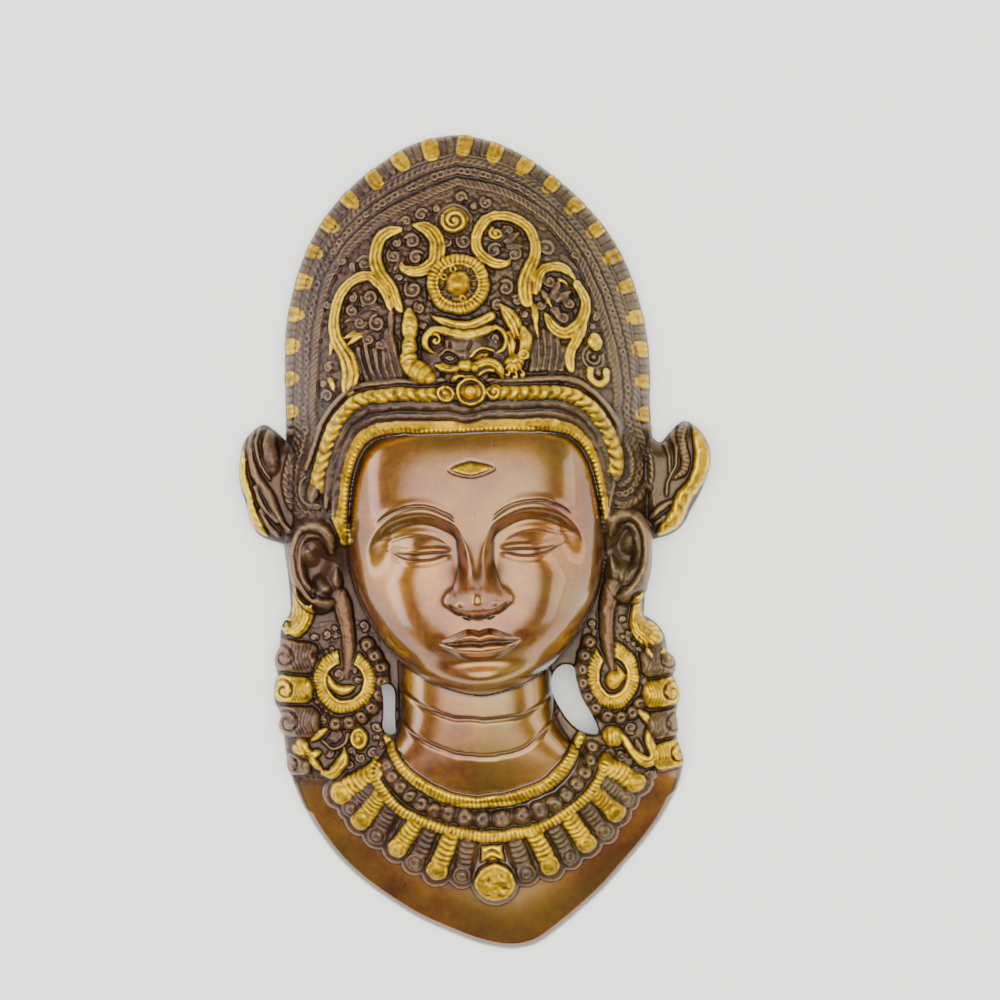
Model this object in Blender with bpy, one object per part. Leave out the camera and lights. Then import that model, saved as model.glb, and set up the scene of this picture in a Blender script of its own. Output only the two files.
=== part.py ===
"""Bronze mask of a crowned goddess: one hollow casting, lying on its back.

Z is 0 on the flat rim and rises to the viewer, Y runs to the tip of the crown
and X to the viewer's right. The front is a map of heights over the plan: broad
forms first, then the ornament laid on them. The back follows the broad forms
one wall's thickness behind the front.
"""
import math

import bpy
import numpy as np
from mathutils import Vector
from mathutils.geometry import delaunay_2d_cdt

# Overall sizes, in millimetres
MASK_LENGTH = 350.0
MASK_WIDTH = 202.0
MASK_DEPTH = 73.0
WALL_THICKNESS = 3.5
RIM_HEIGHT = 4.0

# Broad forms, in millimetres
CROWN_SLOPE = 46.0
CHEST_SLOPE = 60.0
HAIR_SLOPE = 13.0
WING_HEIGHT = 7.0
FACE_HALF_WIDTH = 55.0
FACE_MIDDLE = 5.0
FACE_TO_CHIN = 68.0
FACE_TO_BROW = 130.0
FACE_SIDE_HEIGHT = 15.0
NECK_MIDDLE = -3.5

# Ornament, in millimetres
TAB_PITCH = 14.0
TAB_LENGTH = 9.5
TAB_WIDTH = 7.0
SCROLL_WIDTH = 6.0
SCROLL_HEIGHT = 3.4
MEDALLION_RADIUS = 13.0
ROPE_WIDTH = 6.2
ROPE_HEIGHT = 7.0
STUD_SIZE = 4.6
PENDANT_WIDTH = 7.0

# Colours, as sRGB
BROWN = "6E5044"
GOLD = "D2AE45"

# The spacing of the height map, the triangles left in the solid, and how near
# the rim's plane counts as on it
CELL = 1.2
TRIANGLES = 9400
FLAT_WITHIN = 0.35

# The lines below are drawn for a mask of this length, and scaled to the sizes above
DRAWN_LENGTH = 350.0


def drawn(size):
    """A real size in the drawing's units."""
    return size * DRAWN_LENGTH / MASK_LENGTH


def spline(*stations):
    """A smooth curve through (place, value) stations, as a function."""
    place, value = np.array(sorted(stations), float).T
    gap = np.diff(place)
    rise = np.diff(value) / gap
    count = len(place)
    system = np.eye(count)
    right = np.zeros(count)
    for i in range(1, count - 1):
        system[i, i - 1:i + 2] = gap[i - 1], 2 * (gap[i - 1] + gap[i]), gap[i]
        right[i] = 6 * (rise[i] - rise[i - 1])
    bend = np.linalg.solve(system, right)

    def at(where):
        where = np.clip(where, place[0], place[-1])
        i = np.clip(np.searchsorted(place, where) - 1, 0, count - 2)
        a = place[i + 1] - where
        b = where - place[i]
        g = gap[i]
        curve = (bend[i] * a ** 3 + bend[i + 1] * b ** 3) / (6 * g)
        line = (value[i] / g - bend[i] * g / 6) * a + (value[i + 1] / g - bend[i + 1] * g / 6) * b
        return curve + line

    return at


def ramp(*stations):
    """Like spline, but it never swings past its stations."""
    place, value = np.array(sorted(stations), float).T
    gap = np.diff(place)
    rise = np.diff(value) / gap
    both = rise[:-1] * rise[1:]
    lean = np.where(both > 0, 2 * both / np.where(both > 0, rise[:-1] + rise[1:], 1.0), 0.0)
    lean = np.concatenate([[rise[0]], lean, [rise[-1]]])

    def at(where):
        where = np.clip(where, place[0], place[-1])
        i = np.clip(np.searchsorted(place, where) - 1, 0, len(gap) - 1)
        t = (where - place[i]) / gap[i]
        return (value[i] * (1 + 2 * t) * (1 - t) ** 2 + value[i + 1] * t * t * (3 - 2 * t)
                + gap[i] * (lean[i] * t * (1 - t) ** 2 - lean[i + 1] * t * t * (1 - t)))

    return at


def smooth_step(value, low, high):
    t = np.clip((value - low) / (high - low), 0.0, 1.0)
    return t * t * (3.0 - 2.0 * t)


def rounded(t):
    """A quarter round: 0 at t = 0, 1 from t = 1 on."""
    return 1.0 - (1.0 - np.clip(t, 0.0, 1.0)) ** 2


def dome(t):
    """A half round over -1 to 1, and below 0 outside it."""
    return np.where(np.abs(t) < 1.0, np.sqrt(np.clip(1.0 - t * t, 0.0, 1.0)), -1.0)


def bell(t):
    return np.where(np.abs(t) < 1.0, (1.0 - np.clip(t * t, 0.0, 1.0)) ** 2, 0.0)


def flow(points, step=1.0, closed=False):
    """A smooth line through points, resampled evenly."""
    p = np.array(points, float)
    if closed:
        p = np.vstack([p[-1], p, p[0], p[1]])
    else:
        p = np.vstack([2 * p[0] - p[1], p, 2 * p[-1] - p[-2]])
    t = np.linspace(0.0, 1.0, 12, endpoint=False)[:, None]
    parts = []
    for a, b, c, d in zip(p[:-3], p[1:-2], p[2:-1], p[3:]):
        parts.append(0.5 * (2 * b + (c - a) * t + (2 * a - 5 * b + 4 * c - d) * t ** 2
                            + (3 * b - a - 3 * c + d) * t ** 3))
    parts.append(p[-2:-1])
    return evenly(np.vstack(parts), step)


def evenly(points, step):
    run = np.concatenate([[0.0], np.cumsum(np.hypot(*np.diff(points, axis=0).T))])
    count = max(2, int(round(run[-1] / step)) + 1)
    s = np.linspace(0.0, run[-1], count)
    return np.stack([np.interp(s, run, points[:, 0]), np.interp(s, run, points[:, 1])], 1)


def lengths(line):
    return np.concatenate([[0.0], np.cumsum(np.hypot(*np.diff(line, axis=0).T))])


def along(line, s):
    """The point at a length s along a line, and the direction there."""
    run = lengths(line)
    here = np.array([np.interp(s, run, line[:, 0]), np.interp(s, run, line[:, 1])])
    a, b = max(0.0, s - 0.6), min(run[-1], s + 0.6)
    way = np.array([np.interp(b, run, line[:, k]) - np.interp(a, run, line[:, k]) for k in (0, 1)])
    return here, math.atan2(way[1], way[0])


# The outline, from the left notch over the crown and round, clockwise. Each run
# is smooth, and the runs meet at the notches.
CROWN_RUN = [(-79.5, 47.5), (-79.0, 57.0), (-78.6, 75.0), (-77.0, 96.0), (-72.5, 114.0), (-66.0, 130.0),
             (-56.5, 144.5), (-45.0, 156.0), (-33.0, 164.5), (-19.0, 172.0), (0.0, 175.0),
             (17.5, 170.5), (34.0, 160.8), (48.0, 148.5), (60.0, 134.5), (68.5, 119.5), (74.0, 103.0),
             (77.3, 85.0), (77.8, 68.0), (77.0, 55.0), (77.5, 41.5)]
RIGHT_WING_RUN = [(77.5, 41.5), (81.0, 39.2), (85.5, 43.5), (91.5, 47.8), (97.5, 43.5), (101.3, 36.0),
                  (101.3, 28.0), (98.0, 19.0), (93.0, 10.5), (88.5, 3.2), (83.0, -0.5), (74.3, -2.5)]
RIGHT_HAIR_RUNS = [[(74.3, -2.5), (73.6, -13.0), (71.5, -22.0), (70.0, -34.5)],
                   [(70.0, -34.5), (75.5, -38.5), (78.5, -44.0), (78.8, -50.0)],
                   [(78.8, -50.0), (82.0, -53.5), (82.3, -58.0), (81.0, -61.3)],
                   [(81.0, -61.3), (83.0, -66.0), (83.2, -71.0), (81.4, -77.0)],
                   [(81.4, -77.0), (82.0, -83.0), (81.5, -88.0), (83.4, -95.0), (83.6, -100.0)]]
CHEST_RUN = [(83.6, -100.0), (81.0, -108.5), (76.5, -117.0), (71.0, -125.2), (64.0, -133.5),
             (56.0, -142.0), (47.5, -150.8), (38.5, -158.5), (28.5, -166.2), (17.5, -173.2),
             (6.0, -175.0), (-6.5, -172.3), (-19.0, -167.0), (-33.0, -159.8), (-46.0, -150.8),
             (-57.0, -141.8), (-66.0, -132.2), (-73.0, -122.2), (-78.5, -112.2), (-82.8, -101.0),
             (-85.5, -91.0)]
LEFT_HAIR_RUNS = [[(-85.5, -91.0), (-86.3, -84.0), (-86.6, -78.0)],
                  [(-86.6, -78.0), (-88.5, -74.5), (-86.8, -69.3)],
                  [(-86.8, -69.3), (-89.8, -64.0), (-89.8, -58.0), (-88.0, -52.5)],
                  [(-88.0, -52.5), (-88.8, -48.0), (-88.2, -43.5), (-86.0, -39.8)],
                  [(-86.0, -39.8), (-86.0, -34.0), (-83.8, -29.5), (-81.3, -25.0), (-81.3, -14.0),
                   (-81.9, -5.0), (-82.6, 3.4)]]
LEFT_WING_RUN = [(-82.6, 3.4), (-92.0, 7.2), (-95.8, 12.5), (-97.6, 20.0), (-100.0, 29.5),
                 (-100.0, 38.0), (-98.0, 46.5), (-93.5, 52.5), (-88.5, 55.0), (-84.0, 52.0),
                 (-79.5, 47.5)]
# The openings seen beside the neck
LEFT_GAP = [(-43.3, -58.5), (-40.0, -58.0), (-37.8, -61.5), (-38.2, -70.0), (-38.6, -78.6),
            (-42.0, -79.2), (-43.8, -76.0), (-43.2, -70.5), (-43.0, -64.0)]
RIGHT_GAP = [(30.0, -56.5), (28.8, -62.0), (30.5, -69.0), (35.0, -77.0), (40.0, -81.8), (46.5, -83.8),
             (47.8, -81.5), (45.0, -74.5), (41.6, -68.0), (39.6, -60.5), (38.5, -54.5), (34.0, -53.5)]


def outline(step):
    runs = ([CROWN_RUN, RIGHT_WING_RUN] + RIGHT_HAIR_RUNS + [CHEST_RUN] + LEFT_HAIR_RUNS
            + [LEFT_WING_RUN])
    line = np.vstack([flow(run, step)[:-1] for run in runs])
    return line[::-1]


def body_outline(step):
    """The outline without the two wings, which are thinner flaps."""
    left_side = [(-82.6, 3.4), (-81.5, 25.0), (-79.5, 47.5)]
    right_side = [(77.5, 41.5), (76.5, 20.0), (74.3, -2.5)]
    runs = [CROWN_RUN, right_side] + RIGHT_HAIR_RUNS + [CHEST_RUN] + LEFT_HAIR_RUNS + [left_side]
    line = np.vstack([flow(run, step)[:-1] for run in runs])
    return line[::-1]


def inside(line, x, y):
    """Which points of a grid with columns x and rows y lie inside a closed line."""
    found = np.zeros((len(y), len(x)), bool)
    ax, ay = line.T
    bx, by = np.roll(line, -1, axis=0).T
    for i, level in enumerate(y):
        hit = (ay > level) != (by > level)
        cuts = np.sort(ax[hit] + (level - ay[hit]) / (by[hit] - ay[hit]) * (bx[hit] - ax[hit]))
        for low, high in zip(cuts[0::2], cuts[1::2]):
            found[i, np.searchsorted(x, low):np.searchsorted(x, high)] = True
    return found


class Relief:
    """The mask's front as a map: broad height, ornament above it, and gilding."""

    def __init__(self, cell):
        self.cell = cell
        self.x = np.arange(-104.0, 104.0 + cell, cell)
        self.y = np.arange(-178.0, 178.0 + cell, cell)
        shape = (len(self.y), len(self.x))
        self.base = np.full(shape, drawn(RIM_HEIGHT))
        self.rise = np.zeros(shape)
        self.gilt = np.zeros(shape)

    def window(self, low, high):
        i = np.searchsorted(self.y, [low[1], high[1]])
        j = np.searchsorted(self.x, [low[0], high[0]])
        at = (slice(i[0], i[1] + 1), slice(j[0], j[1] + 1))
        return at, self.x[at[1]][None, :], self.y[at[0]][:, None]

    def near(self, line, reach):
        """A window round a line: distance, signed distance (+ left) and run along it."""
        line = np.asarray(line, float)
        at, x, y = self.window(line.min(0) - reach, line.max(0) + reach)
        shape = (y.size, x.size)
        away = np.full(shape, 1e9)
        side = np.ones(shape)
        run = np.zeros(shape)
        start = 0.0
        for a, b in zip(line[:-1], line[1:]):
            size = math.hypot(*(b - a))
            if size < 1e-9:
                continue
            low = np.minimum(a, b) - reach
            high = np.maximum(a, b) + reach
            i = slice(*np.searchsorted(y[:, 0], [low[1], high[1]]))
            j = slice(*np.searchsorted(x[0], [low[0], high[0]]))
            dx, dy = (b - a) / size
            px, py = x[:, j] - a[0], y[i] - a[1]
            t = np.clip(px * dx + py * dy, 0.0, size)
            gap = (px - t * dx) ** 2 + (py - t * dy) ** 2
            closer = gap < away[i, j]
            away[i, j][closer] = gap[closer]
            side[i, j][closer] = np.sign(dx * py - dy * px + 1e-12)[closer]
            run[i, j][closer] = (start + t)[closer]
            start += size
        away = np.sqrt(away)
        return at, away, away * side, run

    def frame(self, centre, angle, reach):
        """A window round a point, with coordinates along and across an angle."""
        centre = np.asarray(centre, float)
        at, x, y = self.window(centre - reach, centre + reach)
        dx, dy = x - centre[0], y - centre[1]
        c, s = math.cos(angle), math.sin(angle)
        return at, dx * c + dy * s, dy * c - dx * s

    def lay(self, at, height, gilt=None):
        """Lays a shape over the ornament where it is the higher."""
        over = (height > self.rise[at]) & (height > 0.0)
        self.rise[at][over] = height[over]
        if gilt is not None:
            self.gilt[at][over] = gilt

    def cord(self, line, width, height, gilt=None, end=None):
        """A round ridge along a line, which may taper."""
        end = width if end is None else end
        at, away, _, run = self.near(line, max(width, end) / 2 + self.cell)
        half = (width + (end - width) * run / lengths(line)[-1]) / 2
        shape = height * dome(away / half) * np.minimum(1.0, 0.4 + 0.6 * half * 2 / width)
        self.lay(at, shape, gilt)

    def band(self, line, width, height, gilt=None, end=None):
        """A flat ribbon with rounded edges, which may taper."""
        end = width if end is None else end
        at, _, across, run = self.near(line, max(width, end) / 2 + self.cell)
        half = (width + (end - width) * run / lengths(line)[-1]) / 2
        self.lay(at, height * rounded((1 - np.abs(across / half)) * 3.0), gilt)

    def blob(self, centre, long, wide, height, gilt=None, angle=0.0, power=0.5):
        """A rounded oval."""
        at, u, v = self.frame(centre, angle, max(long, wide) / 2 + self.cell)
        r2 = (2 * u / long) ** 2 + (2 * v / wide) ** 2
        shape = np.where(r2 < 1, height * np.clip(1 - r2, 0, 1) ** power, -1.0)
        self.lay(at, shape, gilt)

    def block(self, centre, long, wide, height, gilt=None, angle=0.0, edge=0.8):
        """A rounded rectangle."""
        at, u, v = self.frame(centre, angle, math.hypot(long, wide) / 2 + self.cell)
        inner = np.minimum(long / 2 - np.abs(u), wide / 2 - np.abs(v))
        shape = np.where(inner > 0, height * rounded(inner / edge), -1.0)
        self.lay(at, shape, gilt)

    def ring(self, centre, radius, width, height, gilt=None, stretch=1.0, gap=None):
        """A ring, which may be an upright oval, and open between two angles."""
        at, u, v = self.frame(centre, 0.0, radius * max(1, stretch) + width + self.cell)
        v = v / stretch
        shape = height * dome((np.hypot(u, v) - radius) / (width / 2))
        if gap is not None:
            middle, spread = gap
            off = np.abs((np.arctan2(v, u) - middle + math.pi) % (2 * math.pi) - math.pi)
            shape = np.where(off > spread, shape, -1.0)
        self.lay(at, shape, gilt)

    def spiral(self, centre, radius, turns, start, width, height, gilt=None, hand=1):
        """A curl that winds in from its rim."""
        t = np.linspace(0.0, 1.0, max(8, int(turns * 18)))
        angle = start + hand * turns * 2 * math.pi * t
        r = radius * (1 - 0.8 * t)
        line = np.stack([centre[0] + r * np.cos(angle), centre[1] + r * np.sin(angle)], 1)
        self.cord(line, width, height, gilt, end=width * 0.7)

    def groove(self, line, width, depth):
        """An engraved line."""
        at, away, _, _ = self.near(line, width + self.cell)
        self.rise[at] -= depth * bell(away / width)


def face_profile():
    """Height of the face down its middle line, without nose and lips."""
    return spline((60, 34), (50, 42), (44, 46.5), (35, 51), (25, 54.5), (14, 57), (5, 56.5), (-5, 56),
                  (-15, 57), (-25, 58.5), (-34, 59.5), (-42, 58), (-48, 55.5), (-53, 54.5), (-57, 51),
                  (-60, 45), (-62, 38), (-64, 28))


def face_form(x, y):
    """The head under the crown: a calm egg with brow, eyes, nose, lips and chin."""
    reach = np.where(y > drawn(FACE_MIDDLE), drawn(FACE_TO_BROW), drawn(FACE_TO_CHIN))
    up = np.clip(np.abs(y - drawn(FACE_MIDDLE)) / reach, 0.0, 0.999)
    half = drawn(FACE_HALF_WIDTH) * np.sqrt(1.0 - up ** 2)
    middle = face_profile()(y)
    t = np.clip(np.abs(x) / np.maximum(half, 0.5), 0.0, 1.0)
    section = (1.0 - t ** 2.25) ** 0.52
    z = drawn(FACE_SIDE_HEIGHT) + (middle - drawn(FACE_SIDE_HEIGHT)) * section
    z = np.where((np.abs(x) < half) & (y > drawn(FACE_MIDDLE) - drawn(FACE_TO_CHIN)) & (y < 58.0), z,
                 0.0)
    return z


# The edge of the brow, over either eye
BROW_ARC = [(0.0, -5.0), (3.2, 0.5), (6.0, 6.0), (11.0, 10.5), (18.0, 13.6), (26.0, 14.0), (34.0, 11.6),
            (41.0, 7.0), (48.0, 0.0), (60.0, -12.0)]


def face_features(x, y):
    """What the features add to the egg of the face."""
    ax = np.abs(x)
    z = np.zeros(np.broadcast(x, y).shape)
    # Sockets: a crisp brow edge above, melting into the cheek below
    brow = spline(*BROW_ARC)(ax)
    below = (brow - y) / 20.0
    fall = smooth_step(below, -0.04, 0.30) * (1.0 - smooth_step(below, 0.42, 1.30))
    across = smooth_step(ax, 2.5, 9.0) * (1.0 - smooth_step(ax, 34.0, 47.0))
    z -= 4.6 * fall * across
    z += 0.9 * bell((y - brow - 1.0) / 6.0) * smooth_step(ax, 3.0, 9.0) * (1.0 - smooth_step(ax, 36.0,
                                                                                             46.0))
    # Cheeks and the fullness round the mouth
    z += 2.4 * np.exp(-((ax - 26.0) / 13.0) ** 2 - ((y + 18.0) / 13.0) ** 2)
    z += 2.6 * np.exp(-(x / 15.0) ** 2 - ((y + 37.0) / 9.5) ** 2)
    # Chin and the hollow over it
    z += 3.6 * np.exp(-(x / 10.5) ** 2 - ((y + 54.0) / 6.5) ** 2)
    z -= 1.5 * np.exp(-(x / 12.0) ** 2 - ((y + 47.8) / 2.8) ** 2)
    return z


def nose(x, y):
    """The nose above the face: a straight ridge, a rounded tip and two wings."""
    ax = np.abs(x)
    high = ramp((14, 0), (7, 0.9), (2, 2.4), (-4, 4.7), (-10, 7.3), (-16, 10.3), (-20, 12.0),
                (-22.5, 12.2), (-25, 10.6), (-27.2, 6.4), (-29.2, 2.2), (-32.0, 0.0))(y)
    half = ramp((14, 12), (7, 8.6), (0, 7.4), (-6, 7.7), (-12, 9.0), (-18, 10.8), (-23, 11.8),
                (-27, 10.4), (-32, 7.0))(y)
    ridge = high * np.cos(0.5 * math.pi * np.clip(ax / half, 0.0, 1.0)) ** 1.35
    ball = 11.6 * np.clip(1.0 - (ax / 7.4) ** 2 - ((y + 21.2) / 6.8) ** 2, 0.0, 1.0) ** 0.8
    wing = 6.9 * np.clip(1.0 - ((ax - 7.6) / 5.0) ** 2 - ((y + 23.2) / 5.6) ** 2, 0.0, 1.0) ** 0.9
    # A soft sum, in which the highest form wins and the joins melt together
    sharp = 2.6
    both = (ridge ** sharp + ball ** sharp + wing ** sharp) ** (1.0 / sharp)
    pit = 3.2 * bell((ax - 4.5) / 2.5) * bell((y + 27.8) / 2.0)
    return both - pit


def eyes(x, y):
    """Ball, lids and lid folds of both half-closed eyes."""
    ax = np.abs(x)
    u = ax - 21.5
    ball = 5.6 * np.clip(1.0 - (u / 16.5) ** 2 - ((y - 0.4) / 11.0) ** 2, 0.0, 1.0) ** 1.15
    upper = spline((8, -3.2), (10.5, -2.6), (16, -1.5), (22, -1.2), (28, -1.4), (34, -1.9),
                   (40, -1.2))(ax)
    lower = spline((8, -3.2), (10.5, -2.9), (16, -4.1), (22, -4.6), (28, -4.2), (34, -2.4),
                   (40, -1.4))(ax)
    fold = spline((8, -1.4), (11, 1.2), (16, 4.2), (22, 5.6), (29, 4.8), (35, 2.0), (41, -0.2))(ax)
    span = smooth_step(ax, 9.5, 12.5) * (1.0 - smooth_step(ax, 31.0, 35.5))
    slit = smooth_step(upper - y, -0.1, 0.5) * smooth_step(y - lower, -0.1, 0.5)
    z = ball - 1.5 * slit * span
    z = z + 0.75 * bell((y - upper - 0.9) / 1.4) * span + 0.55 * bell((y - lower + 0.9) / 1.5) * span
    wide = smooth_step(ax, 9.5, 13.0) * (1.0 - smooth_step(ax, 36.0, 41.0))
    z = z - 0.9 * bell((y - fold) / 1.1) * wide
    z = z - 0.6 * bell((y - upper) / 0.7) * smooth_step(ax, 30.0, 33.5) * (1.0 - smooth_step(ax, 37.0,
                                                                                             41.0))
    return z


def lips(x, y):
    ax = np.abs(x)
    top = spline((0, -34.4), (3.4, -33.0), (8, -34.4), (13, -37.0), (16.5, -38.7))(ax)
    seam = spline((0, -39.4), (4, -38.6), (9, -39.0), (13, -38.8), (16.5, -38.2))(ax)
    foot = spline((0, -46.2), (6, -45.5), (10, -43.6), (14, -40.8), (16.5, -38.8))(ax)
    ends = 1.0 - smooth_step(ax, 10.5, 17.0)
    u = np.clip((y - seam) / np.maximum(top - seam, 0.3), 0.0, 1.0)
    over = 3.2 * np.sin(math.pi * u) ** 0.7 * (1.0 - 0.4 * u)
    v = np.clip((seam - y) / np.maximum(seam - foot, 0.3), 0.0, 1.0)
    under = 3.8 * np.sin(math.pi * v) ** 0.75 * (1.0 - 0.2 * v)
    z = np.where((y > seam) & (y < top), over, 0.0) + np.where((y <= seam) & (y > foot), under, 0.0)
    z = z * ends
    z = z - 1.0 * bell((y - seam) / 1.0) * (1.0 - smooth_step(ax, 13.5, 18.0))
    z = z - 1.0 * bell((ax - 17.3) / 3.0) * bell((y + 38.4) / 3.0)
    z = z - 0.8 * bell(x / 2.4) * smooth_step(y, -34.8, -33.0) * (1.0 - smooth_step(y, -31.5, -29.5))
    return z


def neck_form(x, y):
    """The neck, widening into the chest, with the swell of each fold."""
    middle = ramp((-48, 37), (-63, 36.5), (-73, 35.5), (-80, 34), (-88, 31.5), (-96, 28), (-104, 24),
                  (-112, 18), (-120, 10), (-128, 0))(y)
    half = ramp((-48, 33), (-63, 33.5), (-72, 34), (-78, 36), (-86, 41), (-94, 48), (-104, 55),
                (-112, 60), (-128, 66))(y)
    t = np.clip(np.abs(x - drawn(NECK_MIDDLE)) / half, 0.0, 1.0)
    low = np.minimum(6.0, middle)
    z = low + (middle - low) * np.sqrt(1.0 - t ** 2.3)
    return np.where((y < -48.0) & (y > -127.0) & (t < 1.0), z, 0.0)


# Middles of the ears and of the earrings, and the band over the forehead
LEFT_EAR = (-67.5, -6.0)
RIGHT_EAR = (63.5, -8.0)
LEFT_DROP = (-58.3, -55.5)
RIGHT_DROP = (54.8, -58.8)
TOOTHED_BAND = [(-54.8, 4.5), (-55.2, 17.0), (-53.0, 30.0), (-49.5, 40.0), (-44.0, 46.8), (-36.0, 49.6),
                (-18.0, 49.4), (0.0, 49.0), (18.0, 48.5), (36.0, 47.3), (45.0, 42.8), (50.0, 35.5),
                (53.3, 24.0), (54.6, 12.0), (54.6, 3.0)]


def lump(x, y, centre, long, wide, low, high, power=0.5):
    """A low oval mound under an ear or an earring."""
    r2 = ((x - centre[0]) / long) ** 2 + ((y - centre[1]) / wide) ** 2
    return np.where(r2 < 1, low + (high - low) * np.clip(1 - r2, 0, 1) ** power, 0.0)


def broad_forms(relief):
    """Fills in the mask's broad heights: crown, chest, wings, face, neck and ears."""
    x, y = relief.x[None, :], relief.y[:, None]
    body = body_outline(1.0)
    closed = np.vstack([body, body[:1]])
    at, away, _, _ = relief.near(closed, 62.0)
    edge = np.zeros(relief.base.shape)
    edge[at] = np.minimum(away, 62.0)
    edge = np.where(inside(body, relief.x, relief.y), edge, 0.0)
    height = ramp((-175, 15), (-140, 16.5), (-110, 17), (-98, 13), (-88, 9), (-60, 9), (-30, 9),
                  (-12, 12), (4, 20), (20, 28), (40, 37), (62, 41), (80, 37.5), (100, 32), (120, 27),
                  (140, 22), (176, 19))(y)
    slope = ramp((-175, 44), (-120, drawn(CHEST_SLOPE)), (-100, 40), (-88, drawn(HAIR_SLOPE)),
                 (-20, drawn(HAIR_SLOPE)), (0, 20), (20, 34), (45, drawn(CROWN_SLOPE)),
                 (176, drawn(CROWN_SLOPE)))(y)
    base = drawn(RIM_HEIGHT) + height * rounded(edge / slope)
    whole = outline(1.0)
    at, away, _, _ = relief.near(np.vstack([whole, whole[:1]]), 14.0)
    rim = np.full(relief.base.shape, 14.0)
    rim[at] = np.minimum(away, 14.0)
    wing = drawn(RIM_HEIGHT) + drawn(WING_HEIGHT) * rounded(rim / 9.0)
    on_wing = (np.abs(x) > 74.0) & (y > -4.0) & (y < 57.0)
    base = np.where(on_wing, np.maximum(base, wing), base)
    for ear in (LEFT_EAR, RIGHT_EAR):
        base = np.maximum(base, lump(x, y, ear, 12.0, 21.0, 12.0, 20.0, 0.35))
    for drop in (LEFT_DROP, RIGHT_DROP):
        base = np.maximum(base, lump(x, y, drop, 17.5, 19.5, 10.0, 15.5, 0.3))
    base = np.maximum(base, neck_form(x, y))
    # The chest rolls over to its edge
    base = np.minimum(base, 2.4 + rim * 1.2 + 60.0 * smooth_step(y, -106.0, -84.0))
    face = face_form(x, y)
    on_face = face > drawn(FACE_SIDE_HEIGHT) + 0.01
    face = np.where(on_face, face + face_features(x, y) + nose(x, y) + eyes(x, y) + lips(x, y), face)
    # Within the toothed band the forehead lies deeper than the crown's shell
    band = flow(TOOTHED_BAND, 1.0)
    opening = inside(band, relief.x, relief.y)
    at, away, _, _ = relief.near(band, 3.0)
    opening[at] &= away > 2.0
    base = np.where(opening & on_face, 0.0, base)
    relief.base = np.maximum(base, face)


# Where the crown's border ends inside, from the tip down
LEFT_INNER_ARCH = [(0.0, 149.0), (-17.5, 142.0), (-33.5, 135.0), (-45.5, 126.0), (-52.7, 116.5),
                   (-57.0, 108.0), (-60.0, 95.0), (-62.0, 80.0), (-63.5, 64.0), (-65.5, 50.0),
                   (-68.0, 38.0)]
RIGHT_INNER_ARCH = [(0.0, 149.0), (15.5, 145.0), (27.0, 139.5), (36.5, 131.5), (44.5, 121.0),
                    (50.5, 108.0), (55.0, 94.0), (58.0, 80.0), (60.0, 64.0), (62.0, 50.0), (63.5, 38.0)]


def crown_sides():
    """Outline and inner arch of each half of the crown's border, from the tip down."""
    left = flow(CROWN_RUN[10::-1], 1.0)
    right = flow(CROWN_RUN[10:], 1.0)
    return (left, flow(LEFT_INNER_ARCH, 1.0)), (right, flow(RIGHT_INNER_ARCH, 1.0))


def lane(outer, inner, share):
    """A line between the outline (share 0) and the inner arch (share 1)."""
    t = np.linspace(0.0, 1.0, 140)
    ends = []
    for line in (outer, inner):
        run = lengths(line) / lengths(line)[-1]
        ends.append(np.stack([np.interp(t, run, line[:, 0]), np.interp(t, run, line[:, 1])], 1))
    return evenly(ends[0] * (1 - share) + ends[1] * share, 0.8)


def crown_border(relief):
    """Gold tabs along the edge, the bars between them and the rows within."""
    for k, (outer, inner) in enumerate(crown_sides()):
        tabs = lane(outer, inner, 0.23)
        total = lengths(tabs)[-1]
        count = int(total / drawn(TAB_PITCH))
        for i in range(count):
            if i == 0 and k == 1:
                continue
            s = i * drawn(TAB_PITCH)
            here, angle = along(tabs, max(s, 0.01))
            if i == 0:
                angle = math.pi
            narrow = 1.0 - 0.35 * smooth_step(s, 60.0, 160.0)
            relief.block(here, drawn(TAB_WIDTH) * (1.1 if i == 0 else 0.95), drawn(TAB_LENGTH) * narrow,
                         2.4, 1.0, angle, 1.8)
        for i in range(count):
            for share in (0.36, 0.5, 0.64):
                here, angle = along(tabs, (i + share) * drawn(TAB_PITCH))
                narrow = 1.0 - 0.35 * smooth_step((i + share) * drawn(TAB_PITCH), 60.0, 160.0)
                relief.block(here, 1.5, drawn(TAB_LENGTH) * 0.9 * narrow, 1.5, None, angle, 0.7)
        relief.cord(lane(outer, inner, 0.45), 1.4, 1.4)
        relief.cord(lane(outer, inner, 0.60), 4.4, 1.8)
        relief.cord(lane(outer, inner, 1.0), 4.6, 2.6)
        relief.cord(lane(outer, inner, 0.73), 1.0, 1.2)
        relief.cord(lane(outer, inner, 0.88), 0.9, 1.0)
    relief.groove(flow([(-2, 146), (0, 146.6), (2, 146)], 0.5), 1.2, 0.6)


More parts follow.
